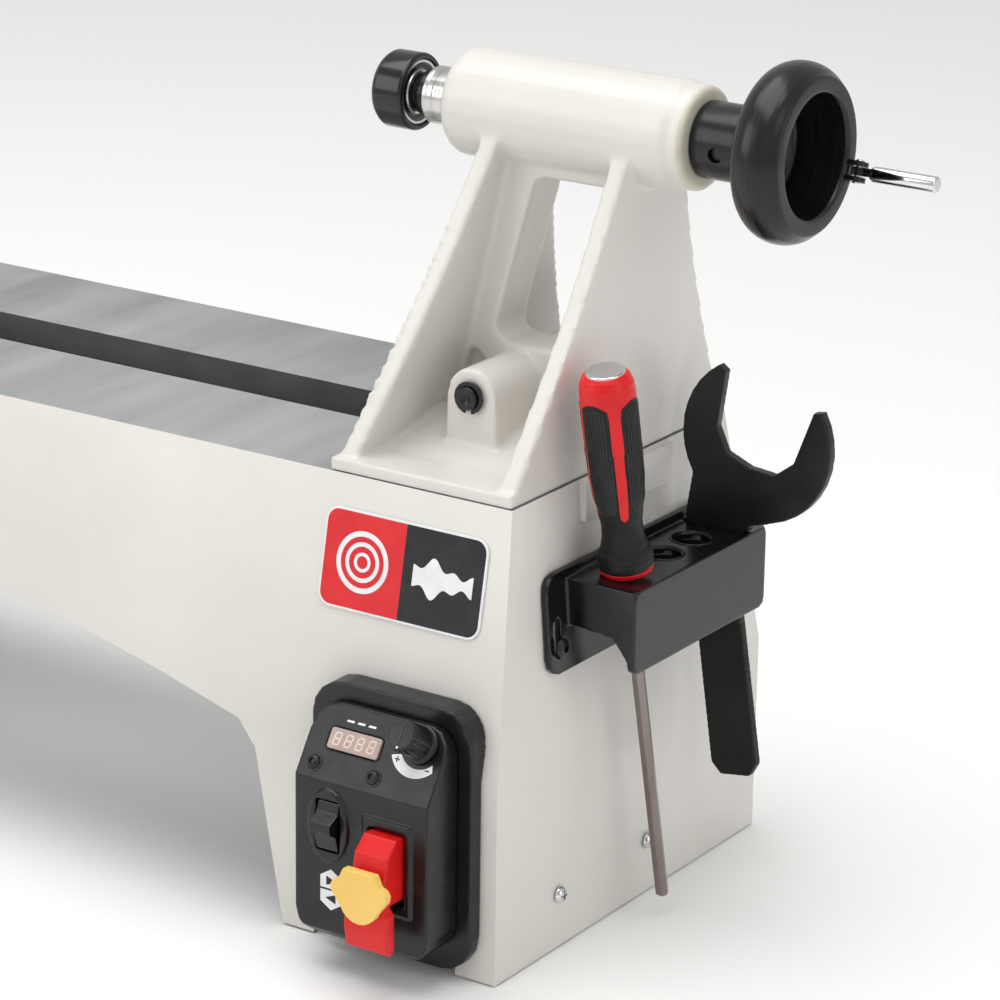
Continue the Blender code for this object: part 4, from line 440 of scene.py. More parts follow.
def close_tree(tree, given, shape):
    """Every tree ends the same way: real geometry, then its finish."""
    real = add(tree, "GeometryNodeRealizeInstances", [("Geometry", shape)])
    painted = add(tree, "GeometryNodeSetMaterial",
                  [("Geometry", real.outputs[0]), ("Material", given.outputs["Finish"])])
    end = tree.nodes.new("NodeGroupOutput")
    tree.links.new(painted.outputs[0], end.inputs["Shape"])
    return tree


def grown(name, tree, finish, mesh=None, **values):
    """Runs a tree on a mesh and keeps the result as a plain mesh."""
    obj = piece_from(name, mesh or bpy.data.meshes.new(name))
    modifier = obj.modifiers.new("nodes", "NODES")
    modifier.node_group = tree
    values["Finish"] = finish
    for item in tree.interface.items_tree:
        if item.in_out == "INPUT" and item.name in values:
            modifier[item.identifier] = values[item.name]
    settled(obj)
    return obj


# %% the turning tree
def make_turning_tree():
    tree, given = new_tree("turn_a_profile", Sides=("Int", 96))
    shape = given.outputs["Shape"]
    size = add(tree, "GeometryNodeAttributeDomainSize", [("Geometry", shape)], component="MESH")
    points = size.outputs["Point Count"]
    rows = add(tree, "ShaderNodeMath", [(0, given.outputs["Sides"]), (1, 1.0)], operation="ADD")
    grid = add(tree, "GeometryNodeMeshGrid", [("Vertices X", rows.outputs[0]), ("Vertices Y", points)])
    index = add(tree, "GeometryNodeInputIndex").outputs[0]
    share = add(tree, "ShaderNodeMath", [(0, index), (1, points)], operation="DIVIDE")
    nudged = add(tree, "ShaderNodeMath", [(0, share.outputs[0]), (1, 0.0001)], operation="ADD")
    row = add(tree, "ShaderNodeMath", [(0, nudged.outputs[0])], operation="FLOOR")
    before = add(tree, "ShaderNodeMath", [(0, row.outputs[0]), (1, points)], operation="MULTIPLY")
    column = add(tree, "ShaderNodeMath", [(0, index), (1, before.outputs[0])], operation="SUBTRACT")
    place = add(tree, "GeometryNodeInputPosition").outputs[0]
    looked_up = add(tree, "GeometryNodeSampleIndex", [("Geometry", shape), ("Index", column.outputs[0])],
                    data_type="FLOAT_VECTOR", domain="POINT")
    tree.links.new(place, looked_up.inputs["Value"])
    part = add(tree, "ShaderNodeMath", [(0, row.outputs[0]), (1, given.outputs["Sides"])],
               operation="DIVIDE")
    angle = add(tree, "ShaderNodeMath", [(0, part.outputs[0]), (1, 2 * math.pi)], operation="MULTIPLY")
    swung = add(tree, "ShaderNodeVectorRotate", [("Vector", looked_up.outputs[0]), ("Angle",
            angle.outputs[0])],
                rotation_type="X_AXIS")
    moved = add(tree, "GeometryNodeSetPosition", [("Geometry", grid.outputs["Mesh"]), ("Position",
            swung.outputs[0])])
    welded = add(tree, "GeometryNodeMergeByDistance",
                 [("Geometry", moved.outputs[0]), ("Distance", 0.000004)])
    return close_tree(tree, given, welded.outputs[0])


TURNING = make_turning_tree()


def softened(profile, radius, closed=False):
    """Rounds the corners of a profile, never taking more than half an edge."""
    points = [Vector(p) for p in profile]
    count = len(points)
    result = []
    for i, point in enumerate(points):
        if not closed and i in (0, count - 1):
            result.append(point)
            continue
        before = points[i - 1] - point
        after = points[(i + 1) % count] - point
        reach = min(radius, 0.45 * before.length, 0.45 * after.length)
        start, stop = point + before.normalized() * reach, point + after.normalized() * reach
        for step in range(4):
            t = step / 3
            result.append(start * (1 - t) ** 2 + point * 2 * t * (1 - t) + stop * t * t)
    if closed:
        result.append(result[0])
    return result


def laid(obj, place, along=(1, 0, 0), up=None):
    """Moves a mesh drawn along X to a place, pointing along a direction."""
    direction = Vector(along).normalized()
    side = Vector(up or ((0, 0, 1) if abs(direction.z) < 0.9 else (0, 1, 0)))
    side = (side - direction * side.dot(direction)).normalized()
    turn = Matrix((direction, side.cross(direction), side)).transposed()
    obj.data.transform(Matrix.Translation(place) @ turn.to_4x4())
    return obj


def outwards(obj):
    """Points every face of a closed mesh outwards."""
    bm = bmesh.new()
    bm.from_mesh(obj.data)
    bmesh.ops.recalc_face_normals(bm, faces=bm.faces)
    if bm.calc_volume(signed=True) < 0:
        bmesh.ops.reverse_faces(bm, faces=bm.faces)
    bm.to_mesh(obj.data)
    bm.free()
    return obj


def turned(name, profile, place, finish, along=(1, 0, 0), soft=0.4, closed=False, sides=96):
    """A turned piece from (distance along, radius) in millimetres, with rounded corners."""
    path = softened([(a * MM, r * MM) for a, r in profile], soft * MM, closed)
    mesh = bpy.data.meshes.new(name)
    mesh.from_pydata([(a, 0.0, max(r, 0.0)) for a, r in path], [(i, i + 1) for i in range(len(path) - 1)],
                     [])
    obj = grown(name, TURNING, finish, mesh, Sides=sides)
    return smooth(outwards(laid(obj, place, along)))


def carved(obj, cutter, operation="DIFFERENCE"):
    """Cuts a piece with another, or adds it, and bins the cutter."""
    modifier = obj.modifiers.new("carve", "BOOLEAN")
    modifier.operation = operation
    modifier.solver = "EXACT"
    modifier.object = cutter
    settled(obj)
    data = cutter.data
    bpy.data.objects.remove(cutter)
    bpy.data.meshes.remove(data)
    return smooth(obj)


def length_of(node, axis="x"):
    """A node's length along an axis, in millimetres."""
    return (getattr(high(node), axis) - getattr(low(node), axis)) / MM


def low_end(node, axis="x"):
    """The middle of the face a node's box begins with."""
    place = middle(node)
    setattr(place, axis, getattr(low(node), axis))
    return place


def turn_node(node, profile, finish, axis="x", **how):
    """Turns a node's fine piece from the low end of its box."""
    along = [float(axis == letter) for letter in "xyz"]
    return dress(turned(f"{node}_fine", profile, low_end(node, axis), finish, along=along, **how), node)


print("turning tree has", len(TURNING.nodes), "nodes")

# %% [markdown]
# ## Where things are
# Nothing below is measured again. The spindle's axis is the middle of the quill's box, the bed's
# top is the top of its box, and everything else is found from those and from the pieces' own boxes.

# %% places taken from the frame
def low(node):
    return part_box(node)[0]


def high(node):
    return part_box(node)[1]


def middle(node):
    return (low(node) + high(node)) / 2


AXIS = middle("quill")
BED_LOW, BED_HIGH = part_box("bed")
BED_TOP = BED_HIGH.z
HALF_BASE = (BED_HIGH.y - BED_LOW.y) / 2
FLARE = 24 * MM
FLARE_DROP = 122 * MM


def on_axis(x):
    """A point on the spindle's axis."""
    return Vector((x, AXIS.y, AXIS.z))


def bed_half(z):
    """Half the bed's width at a height."""
    return HALF_BASE - FLARE + FLARE * min(1.0, (BED_TOP - z) / FLARE_DROP)


print("centres stand", round((AXIS.z - BED_TOP) / MM, 1), "mm over the ways")

# %% [markdown]
# ## The bed
# One iron casting: painted outside, ground on top where the tailstock slides, and near-black inside,
# which is painted shade for the dark hollow under the slot.
# Its faces are plain, so rounding the edges of a merged copy is enough. What differs is the finish
# of each face, and that is decided by where the face lies and which way it looks.

# %% bed
def bed_finish(place, normal):
    """0 painted, 1 ground, 2 painted shade inside the hollow and on the slot walls."""
    wall, cover = 8 * MM, 13 * MM
    if normal.z > 0.9 and place.z > BED_TOP - 0.1 * MM:
        return 1
    half = bed_half(place.z)
    inside = abs(place.y - AXIS.y) < half - wall and place.z < BED_TOP - 1 * MM
    ends = BED_LOW.x + wall < place.x < BED_HIGH.x - 2 * wall
    # Inside faces below the cover, and upright faces in the slot, get the near-black painted shade.
    if inside and ends and (place.z < BED_TOP - cover + MM or abs(normal.z) < 0.5):
        return 2
    return 0


# The third finish is painted shade for the bed's hollow inside.
rounded("bed", CREAM, GROUND, PAINTED_SHADE_INSIDE, width=1.6, sort=bed_finish)

# %% [markdown]
# ## The castings
# Headstock, tailstock and banjo came out of sand moulds, with generous hollows where ribs meet
# walls. Wrapping them in an even skin and letting it relax gives those hollows for nothing. The end
# of the tailstock's barrel was faced on a machine, so its ring keeps a finish of its own.

# %% tailstock, headstock, banjo and rest
BARREL_END = high("tailstock").x
BARREL_R = 25.5 * MM


def tail_finish(place, normal):
    """1 on the faced ring at the end of the barrel, 0 elsewhere."""
    off_axis = Vector((place.y - AXIS.y, place.z - AXIS.z)).length
    return int(place.x > BARREL_END - 3.2 * MM and off_axis < BARREL_R)


moulded("tailstock", CREAM, BARE_RING, faces=72000, rounds=5, sort=tail_finish)
moulded("headstock", CREAM, faces=60000, rounds=4)
moulded("banjo", CREAM, faces=30000, rounds=5)
moulded("rest_bar", CREAM, faces=24000, rounds=5)
rounded("belt_door", SMOOTH_CREAM, width=1.2)

# %% [markdown]
# ## Small parts that only need their edges broken
# Plates, bolts and clamp pieces are blanks with a file run round them. A loop goes through them
# with a finish and an edge width for each.

# %% plates and bolts
for node, finish, edge in (
        ("motor_plate", BLACK_OXIDE, 0.6), ("tail_clamp_bolt", PLAIN_STEEL, 0.5),
        ("tail_clamp_plate", BLACK_OXIDE, 0.8),
        ("banjo_clamp_plate", BLACK_OXIDE, 0.8), ("banjo_bolt", PLAIN_STEEL, 0.5),
        ("retaining_clip", BLACK_OXIDE, 0.2),
        ("driver_shaft", BRONZE_GREY, 0.35), ("spur_centre", TURNED_STEEL, 0.3),
        ("spindle_pulley", ALUMINIUM, 0.4),
        ("motor_pulley", ALUMINIUM, 0.4), ("drive_belt", GRIP_RUBBER, 0.4),
        ("power_inlet", GLOSS_PLASTIC, 0.8),
        ("hub_set_screw", BLACK_OXIDE, 0.3), ("door_latch", GLOSS_PLASTIC, 0.5)):
    rounded(node, finish, width=edge)

# %% levers with ball knobs
for node, finish, faces in (
        ("clamp_lever", BLACK_OXIDE, 24000), ("banjo_lever", BLACK_OXIDE, 24000),
        ("quill_lock_lever", BLACK_TURNED, 14000),
        ("post_lock", BLACK_TURNED, 14000)):
    moulded(node, finish, faces=faces, rounds=8)

# %% [markdown]
# ## Handwheels
# The tail handwheel is one black turning: a hub with a set screw, a neck that flares, a fat rim
# and a deep bowl. Its section is drawn once, from the hub to the rim and back through the bowl, and
# the turning tree carries it round. Two ears for the folding crank are then added to its face.

# %% tail handwheel
WHEEL_HUB = low("tail_handwheel").x
WHEEL_R = 41.3                 # millimetres, as are all the sizes in profiles
HUB_LENGTH = 56.1              # hub's end to the flat face of the rim
HUB_R = 17.7
RIM_R = 9.0


def wheel_section():
    """Half section of the wheel, in millimetres from the hub's end."""
    face = HUB_LENGTH
    section = [(0.0, 5.6), (0.0, HUB_R), (23.5, HUB_R), (27.2, 19.6), (30.0, 25.0), (31.2, 31.0)]
    for degrees in range(-75, 61, 15):
        t = math.radians(degrees)
        section.append((face - 12.5 + 12.5 * math.sin(t), WHEEL_R - RIM_R + RIM_R * math.cos(t)))
    section += [(face - 0.5, WHEEL_R - 5.3), (face, WHEEL_R - 6.1), (face, 29.0), (face - 1.5, 28.0)]
    section += [(face - 25.0, 25.5), (face - 31.5, 20.5), (face - 34.0, 11.0), (face - 34.0, 5.6)]
    return section


CRANK_SPOT = math.radians(-22.0)
CRANK_RADIUS = 32.5 * MM
CRANK_X = WHEEL_HUB + (HUB_LENGTH + 4.2) * MM
RADIAL = Vector((0.0, math.cos(CRANK_SPOT), math.sin(CRANK_SPOT)))
PIN_AXIS = Vector((0.0, -math.sin(CRANK_SPOT), math.cos(CRANK_SPOT)))
CRANK_PLACE = on_axis(CRANK_X) + RADIAL * CRANK_RADIUS


def slab(name, outline, thickness, place, right, up, finish, edge=0.0):
    """A flat plate from an outline in millimetres, lying on a place and facing right cross up."""
    bm = bmesh.new()
    base = [bm.verts.new((x * MM, y * MM, 0.0)) for x, y in outline]
    bottom = bm.faces.new(base)
    top = bmesh.ops.extrude_face_region(bm, geom=[bottom])["geom"]
    raised = [v for v in top if isinstance(v, bmesh.types.BMVert)]
    bmesh.ops.translate(bm, verts=raised, vec=(0, 0, thickness * MM))
    bmesh.ops.recalc_face_normals(bm, faces=bm.faces)
    if edge > 0:
        rim = [e for e in bm.edges if all(v in raised for v in e.verts)]
        bmesh.ops.bevel(bm, geom=rim, offset=edge * MM, segments=3, affect="EDGES", clamp_overlap=True)
    turn = Matrix((Vector(right), Vector(up), Vector(right).cross(Vector(up)))).transposed().to_4x4()
    bmesh.ops.transform(bm, matrix=Matrix.Translation(place) @ turn, verts=bm.verts)
    mesh = bpy.data.meshes.new(name)
    bm.to_mesh(mesh)
    bm.free()
    return smooth(piece_from(name, mesh, finish), 30.0)


def arc(x, y, radius, start, stop, steps=8):
    """Points on an arc, in degrees."""
    angles = [math.radians(start + (stop - start) * k / steps) for k in range(steps + 1)]
    return [(x + radius * math.cos(a), y + radius * math.sin(a)) for a in angles]


def round_box(width, height, radius, steps=8):
    """A rectangle round the origin with round corners."""
    w, h = width / 2 - radius, height / 2 - radius
    corners = ((w, h, 0), (-w, h, 90), (-w, -h, 180), (w, -h, 270))
    return [p for x, y, start in corners for p in arc(x, y, radius, start, start + 90, steps)]


wheel = turned("tail_handwheel_fine", wheel_section(), on_axis(WHEEL_HUB), BLACK_TURNED, soft=0.8,
               closed=True, sides=128)
for side in (-1, 1):
    ear = [(-6.0, -4.0), (0.0, -4.0)] + arc(0, 0, 4.0, -60, 60, 10) + [(0.0, 4.0), (-6.0, 3.6)]
    start = CRANK_PLACE + PIN_AXIS * (3.5 * side - 1.1) * MM
    carved(wheel, slab("ear", ear, 2.2, start, (1, 0, 0), RADIAL, BLACK_TURNED), "UNION")
set_hole = turned("set_hole", [(0, 0), (0, 3.5), (14, 3.5), (14, 0)],
                  middle("hub_set_screw") + Vector((0, -14 * MM, -2 * MM)),
                  BLACK_OXIDE, along=(0, 0.99, 0.139), soft=0.0, sides=32)
carved(wheel, set_hole)
dress(wheel, "tail_handwheel")

# %% [markdown]
# ### The folding crank
# A chrome bar with a tongue that sits between the ears on a riveted pin. The bar is turned, the
# tongue is a small plate, and the pin shows as a bright head on each side.

# %% crank handle and pin
crank = turned("crank_handle_fine", [(7.0, 0), (7.0, 3.0), (8.4, 3.75), (39.4, 3.75), (40.0, 3.1), (40.0,
        0)],
               CRANK_PLACE, CHROME, soft=0.5, sides=48)
tongue = [(12.0, 3.0)] + arc(0, 0, 3.3, 95, 265, 12) + [(12.0, -3.0)]
carved(crank, slab("tongue", tongue, 3.8, CRANK_PLACE - PIN_AXIS * 1.9 * MM, (1, 0, 0), RADIAL, CHROME),
       "UNION")
dress(crank, "crank_handle")
pin = turned("crank_pin_fine", [(-5.7, 0), (-5.4, 1.6), (-4.8, 2.1), (-4.7, 1.5), (4.7, 1.5), (4.8, 2.3),
                                (5.5, 1.8), (5.9, 0)],
             CRANK_PLACE, CHROME, along=PIN_AXIS, soft=0.3, sides=32)
dress(pin, "crank_pin")

# %% spindle handwheel at the other end
left_wheel = [(0.0, 29.0), (0.0, 36.0), (2.0, 41.0), (7.0, 43.4), (12.0, 44.0), (17.0, 43.2),
              (22.0, 40.5), (24.2, 33.5),
              (26.0, 18.0), (36.0, 18.0), (38.0, 17.2), (38.0, 12.6), (16.0, 12.6), (14.0, 24.0),
              (2.0, 28.0)]
turn_node("spindle_handwheel", left_wheel, BLACK_TURNED, soft=1.2, closed=True)
print("wheels turned:", round(2 * WHEEL_R, 1), "and 88.0 mm across")

# %% [markdown]
# ## Live centre and quill
# A cup-shaped revolving centre sits in the quill. From behind one sees, from the outside in, the
# black cup, the bright outer race, a dark shield, the inner race and the black collar of the arbor.
# All of them are short turned rings, so the same tree makes them.

# %% cup, bearing and arbor
CUP_R = 18.4
cup_section = [(0.0, 0.0), (0.9, 2.2), (2.5, 3.4), (5.5, 7.2), (5.5, 15.6), (6.0, 16.8), (8.4, CUP_R),
               (22.0, CUP_R),
               (23.1, 17.6), (23.1, 15.7), (9.2, 15.7), (9.2, 0.0)]
turn_node("live_centre_cup", cup_section, GLOSS_BLACK, soft=0.6, sides=128)
race = [(0.0, 8.4), (0.0, 15.2), (11.4, 15.2), (11.4, 13.9), (10.6, 13.6), (10.6, 10.7), (11.4, 10.4),
        (11.4, 8.4)]
turn_node("live_centre_bearing", race, TURNED_STEEL, soft=0.2, closed=True)
shield = [(10.62, 10.9), (10.62, 13.5), (10.95, 13.3), (10.95, 11.1)]
attach(turned("bearing_shield", shield, low_end("live_centre_bearing"), GLOSS_PLASTIC, soft=0.1,
              closed=True), "live_centre_bearing")
arbor_x = high("live_centre_arbor").x - 60 * MM
arbor = [(-22.0, 0), (-22.0, 8.0), (-6.0, 8.0), (-6.0, 10.5), (-1.6, 10.5), (-1.6, 8.6), (60.0, 7.1),
         (60.0, 0)]
dress(turned("live_centre_arbor_fine", arbor, on_axis(arbor_x), BLACK_TURNED, soft=0.3),
      "live_centre_arbor")

# %% quill
QUILL_X = low("quill").x
QUILL_R = 13.65
quill = [(0.0, 8.9), (0.0, 12.9), (0.7, QUILL_R), (2.6, QUILL_R), (2.7, 13.45), (3.1, 13.45),
         (3.2, QUILL_R),
         (127.0, QUILL_R), (127.0, 6.4), (64.0, 6.4), (64.0, 7.3)]
turn_node("quill", quill, TURNED_STEEL, soft=0.15, closed=True, sides=128)

# %% [markdown]
# ### The scale on the quill
# The quill carries a row of engraved lines, so the turner can read how deep a hole is. Lines at an
# even step are a job for instances: a row of points, one thin bar on each, made real at the end.

# %% a tree for rows of marks
def make_row_tree():
    tree, given = new_tree("row_of_marks", Count=("Int", 10), Step=("Float", 0.001),
                           Long=("Float", 0.003),
                           Wide=("Float", 0.0002), Thick=("Float", 0.0001))
    offset = add(tree, "ShaderNodeCombineXYZ", [("X", given.outputs["Step"])])
    row = add(tree, "GeometryNodeMeshLine", [("Count", given.outputs["Count"]), ("Offset",
            offset.outputs[0])])
    size = add(tree, "ShaderNodeCombineXYZ", [("X", given.outputs["Wide"]), ("Y", given.outputs["Long"]),
                                              ("Z", given.outputs["Thick"])])
    bar = add(tree, "GeometryNodeMeshCube", [("Size", size.outputs[0])])
    copies = add(tree, "GeometryNodeInstanceOnPoints",
                 [("Points", row.outputs[0]), ("Instance", bar.outputs["Mesh"])])
    return close_tree(tree, given, copies.outputs[0])


ROW = make_row_tree()
FRONT = Vector((0.0, -0.94, 0.34)).normalized()      # the side of the axis that faces the turner
for name, count, step, long in (("quill_scale_fine_lines", 24, 2.0, 2.6),
                                ("quill_scale_long_lines", 5, 10.0, 4.6)):
    marks = grown(name, ROW, BLACK_OXIDE, Count=count, Step=step * MM, Long=long * MM, Wide=0.22 * MM,
                  Thick=0.16 * MM)
    laid(marks, on_axis(QUILL_X + 6 * MM) + FRONT * (QUILL_R - 0.03) * MM, (1, 0, 0), FRONT)
    attach(marks, "quill")

# %% bushing, screw and cam shaft
bush_long = length_of("barrel_bushing")
bushing = [(0, 6.3), (0, 13.6), (bush_long, 13.6), (bush_long, 6.3)]
turn_node("barrel_bushing", bushing, PLAIN_STEEL, soft=0.4, closed=True)
rounded("quill_screw", PLAIN_STEEL, width=0.4)
cam_long = length_of("cam_shaft", "y")
cam = [(1.2, 0), (0.7, 1.4), (0.0, 2.6), (0.0, 5.0), (0.6, 5.5), (cam_long, 5.5), (cam_long, 0)]
turn_node("cam_shaft", cam, BLACK_TURNED, "y", soft=0.3, sides=48)

# %% [markdown]
# ## Spindle end
# The spindle nose is threaded for chucks and faceplates. A thread is a thin section carried along
# a helix, which the spiral primitive draws by its turns and height, so a tree with those two
# numbers makes it.

# %% spindle, bearings and thread
nose = length_of("spindle")
spindle = [(0, 4.8), (0, 12.2), (nose - 45, 12.2), (nose - 45, 15.5), (nose - 30, 17.0),
           (nose - 30, 11.8), (nose, 11.8),
           (nose, 9.0), (nose - 64, 7.4), (nose - 64, 4.8)]
turn_node("spindle", spindle, TURNED_STEEL, soft=0.4, closed=True)
for node in ("front_bearing", "rear_bearing"):
    wide = length_of(node)
    ring = [(0, 12.5), (0, 26.0), (wide, 26.0), (wide, 23.4), (wide - 1, 23.0), (wide - 1, 16.0),
            (wide, 15.6), (wide, 12.5)]
    turn_node(node, ring, TURNED_STEEL, soft=0.3, closed=True)


def make_thread_tree():
    tree, given = new_tree("thread", Turns=("Float", 9.0), Radius=("Float", 0.01), Height=("Float", 0.03),
                           Depth=("Float", 0.001))
    helix = add(tree, "GeometryNodeCurveSpiral", [("Resolution", 40), ("Rotations",
            given.outputs["Turns"]),
                                                  ("Start Radius", given.outputs["Radius"]),
                                                  ("End Radius", given.outputs["Radius"]),
                                                  ("Height", given.outputs["Height"])])
    section = add(tree, "GeometryNodeCurvePrimitiveCircle",
                  [("Resolution", 4), ("Radius", given.outputs["Depth"])])
    ridge = add(tree, "GeometryNodeCurveToMesh", [("Curve", helix.outputs[0]), ("Profile Curve",
            section.outputs[0]),
                                                  ("Fill Caps", True)])
    return close_tree(tree, given, ridge.outputs[0])


THREAD = make_thread_tree()
NOSE_THREAD_LONG = 26.0
thread = grown("spindle_nose_thread", THREAD, TURNED_STEEL, Turns=NOSE_THREAD_LONG / 3.2,
               Radius=11.9 * MM,
               Height=NOSE_THREAD_LONG * MM, Depth=0.8 * MM)
thread.data.transform(Matrix.Rotation(math.pi / 2, 4, "Y"))
thread.data.transform(Matrix.Translation(on_axis(high("spindle").x - (NOSE_THREAD_LONG + 2) * MM)))
attach(smooth(outwards(thread)), "spindle")

# %% [markdown]
# ## Ribs round a circle
# The speed knob, the index pin's grip and the motor's cooling ribs are one idea: round bars set
# evenly on a circle. One tree takes the number, the circle, the length and the thickness.

# %% ring-of-ribs tree
def make_rib_tree():
    tree, given = new_tree("ring_of_ribs", Count=("Int", 18), Radius=("Float", 0.01),
                           Length=("Float", 0.01), Thick=("Float", 0.001))
    ring = add(tree, "GeometryNodeMeshCircle", [("Vertices", given.outputs["Count"]), ("Radius",
            given.outputs["Radius"])])
    bar = add(tree, "GeometryNodeMeshCylinder", [("Vertices", 10), ("Radius", given.outputs["Thick"]),
                                                 ("Depth", given.outputs["Length"])])
    copies = add(tree, "GeometryNodeInstanceOnPoints",
                 [("Points", ring.outputs[0]), ("Instance", bar.outputs["Mesh"])])
    return close_tree(tree, given, copies.outputs[0])


RIBS = make_rib_tree()


def ribs(name, node, finish, place, along, count, radius, length, thick):
    """Ribs round a direction, attached to a node. Sizes in millimetres."""
    obj = grown(name, RIBS, finish, Count=count, Radius=radius * MM, Length=length * MM, Thick=thick * MM)
    obj.data.transform(Matrix.Rotation(math.pi / 2, 4, "Y"))
    return attach(smooth(outwards(laid(obj, place, along))), node)


# %% motor, index pin and tension lever
motor_long = length_of("motor_body")
motor = [(30, 0), (30, 8), (0, 8), (0, 46), (5, 50.8), (20, 50.8), (22, 49.4), (motor_long - 24, 49.4),
         (motor_long - 22, 50.8),
         (motor_long - 10, 50.8), (motor_long - 1, 40), (motor_long, 36), (motor_long, 0)]
turn_node("motor_body", motor, BLACK_PLASTIC, soft=1.5)
ribs("motor_cooling_ribs", "motor_body", BLACK_PLASTIC,
     low_end("motor_body") + Vector(((motor_long / 2 - 1) * MM, 0, 0)), (1, 0, 0), 44, 49.9,
     motor_long - 48, 1.3)
shaft_long, pin_long = length_of("motor_shaft"), length_of("index_pin", "y")
lever_long, post_long = length_of("tension_lever", "y"), length_of("rest_post", "z")
turn_node("motor_shaft", [(0, 0), (0, 7), (shaft_long, 7), (shaft_long, 0)], TURNED_STEEL, soft=0.6,
          sides=48)
index_pin = [(0, 0), (0, 7.2), (1.2, 7.5), (12.8, 7.5), (14, 7.2), (14, 5.5), (44, 5.5), (44, 3),
             (pin_long, 3), (pin_long, 0)]
turn_node("index_pin", index_pin, BLACK_OXIDE, "y", soft=0.4, sides=64)
ribs("index_pin_knurl", "index_pin", BLACK_OXIDE, low_end("index_pin", "y") + Vector((0, 7 * MM, 0)),
     (0, 1, 0), 36, 7.5, 10.5, 0.4)
tension = [(0, 0), (0, 6.5), (lever_long - 20, 6.5), (lever_long - 20, 10.8), (lever_long - 3, 12),
           (lever_long, 9), (lever_long, 0)]
turn_node("tension_lever", tension, BLACK_OXIDE, "y", soft=1.2, sides=64)
post = [(0, 0), (0, 6.9), (1, 7.9), (post_long - 14.6, 7.9), (post_long - 14.6, 5), (post_long, 5),
        (post_long, 0)]
turn_node("rest_post", post, PLAIN_STEEL, "z", soft=0.3, sides=64)

# %% [markdown]
# ## The badge
# A thin printed plate with a white edge, red at the left and black at the right. It lies on a face
# that leans, so it is drawn flat and then carried onto the face by three directions: right, up and
# out. Its print is a plain picture of turning work: a disc with rings and a turned baluster.

# %% badge
LEAN = math.atan2(FLARE, FLARE_DROP)
RIGHT = Vector((1.0, 0.0, 0.0))
BADGE_UP = Vector((0.0, math.sin(LEAN), math.cos(LEAN)))
BADGE_OUT = RIGHT.cross(BADGE_UP)
BADGE_PLACE = middle("badge_plate") - BADGE_OUT * 0.5 * MM
BADGE_W, BADGE_H, BADGE_R = 90.0, 47.0, 7.0


def badge_half(side, inset):
    """Outline of one half of the badge, moved in from its edge."""
    w, h, r = BADGE_W / 2 - inset, BADGE_H / 2 - inset, BADGE_R - inset
    half = [(0.0, -h)] + arc(w - r, -h + r, r, -90, 0) + arc(w - r, h - r, r, 0, 90) + [(0.0, h)]
    return half if side > 0 else [(-x, y) for x, y in reversed(half)]


def on_badge(name, outline, thickness, level, finish, shift=(0.0, 0.0)):
    outline = [(x + shift[0], y + shift[1]) for x, y in outline]
    return slab(name, outline, thickness, BADGE_PLACE + BADGE_OUT * level * MM, RIGHT, BADGE_UP, finish)


dress(slab("badge_plate_fine", round_box(BADGE_W, BADGE_H, BADGE_R), 0.8, BADGE_PLACE, RIGHT, BADGE_UP,
           WHITE_INK, 0.2), "badge_plate")
attach(on_badge("badge_red_half", badge_half(-1, 1.1), 0.12, 0.75, BADGE_RED), "badge_plate")
attach(on_badge("badge_black_half", badge_half(1, 1.1), 0.12, 0.75, BADGE_BLACK), "badge_plate")


def ring_outline(name, outer, inner, shift):
    """A printed ring, as a turned washer facing out of the badge."""
    place = BADGE_PLACE + RIGHT * shift[0] * MM + BADGE_UP * shift[1] * MM
    section = [(0.8, inner), (0.8, outer), (0.95, outer), (0.95, inner)]
    return turned(name, section, place, WHITE_INK, along=BADGE_OUT, soft=0.0, closed=True, sides=64)


for number, (outer, inner) in enumerate(((14.5, 12.0), (9.4, 7.4), (4.6, 3.0))):
    attach(ring_outline(f"badge_ring_{number}", outer, inner, (-22.3, 0.0)), "badge_plate")


def baluster_outline():
    """Silhouette of a turned baluster lying along the badge."""
    length, steps = 33.0, 44
    upper = []
    for k in range(steps + 1):
        t = k / steps
        swell = 3.6 + 4.6 * math.sin(math.pi * min(1.0, t * 1.5)) ** 2 + 1.5 * math.cos(6 * math.pi * t)
        upper.append((length * (t - 0.5), swell))
    return upper + [(x, -y) for x, y in reversed(upper)]


attach(on_badge("badge_baluster", baluster_outline(), 0.12, 0.83, WHITE_INK, (22.3, 0.0)), "badge_plate")

# %% [markdown]
# ## The control box
# Plate and cover are moulded in grained black plastic with soft edges, so they get the even skin.
# The panel's slope carries the knob, the display, two socket screws and a printed crescent with its
# plus and minus. All of these are drawn flat and laid on the slope by the same three directions.

# %% cover, plate, rocker, paddle and key
moulded("control_plate", BLACK_PLASTIC, faces=30000, rounds=5)
moulded("control_cover", BLACK_PLASTIC, faces=70000, rounds=5)
moulded("direction_rocker", GLOSS_PLASTIC, faces=12000, rounds=8)
moulded("switch_paddle", RED_PLASTIC, faces=24000, rounds=7)
moulded("safety_key", YELLOW_PLASTIC, faces=18000, rounds=4)

# %% the slope
COVER_LOW, COVER_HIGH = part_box("control_cover")
BOX_MIDDLE = (COVER_LOW.x + COVER_HIGH.x) / 2
BOX_FRONT = COVER_LOW.y + 1.8 * MM
SLOPE_DEEP, SLOPE_HIGH = 20 * MM, 31 * MM
SLOPE = math.atan2(SLOPE_DEEP, SLOPE_HIGH)
SLOPE_UP = Vector((0.0, math.sin(SLOPE), math.cos(SLOPE)))
SLOPE_OUT = RIGHT.cross(SLOPE_UP)
SLOPE_TOP = Vector((BOX_MIDDLE, BOX_FRONT + SLOPE_DEEP, COVER_HIGH.z))
SLOPE_LONG = math.hypot(SLOPE_DEEP, SLOPE_HIGH)
PANEL_UP = Vector((0.0, 0.0, 1.0))


def slope_place(x, share):
    """A point on the slope: x millimetres from the box's middle, a share of the way down."""
    return SLOPE_TOP + RIGHT * x * MM - SLOPE_UP * SLOPE_LONG * share


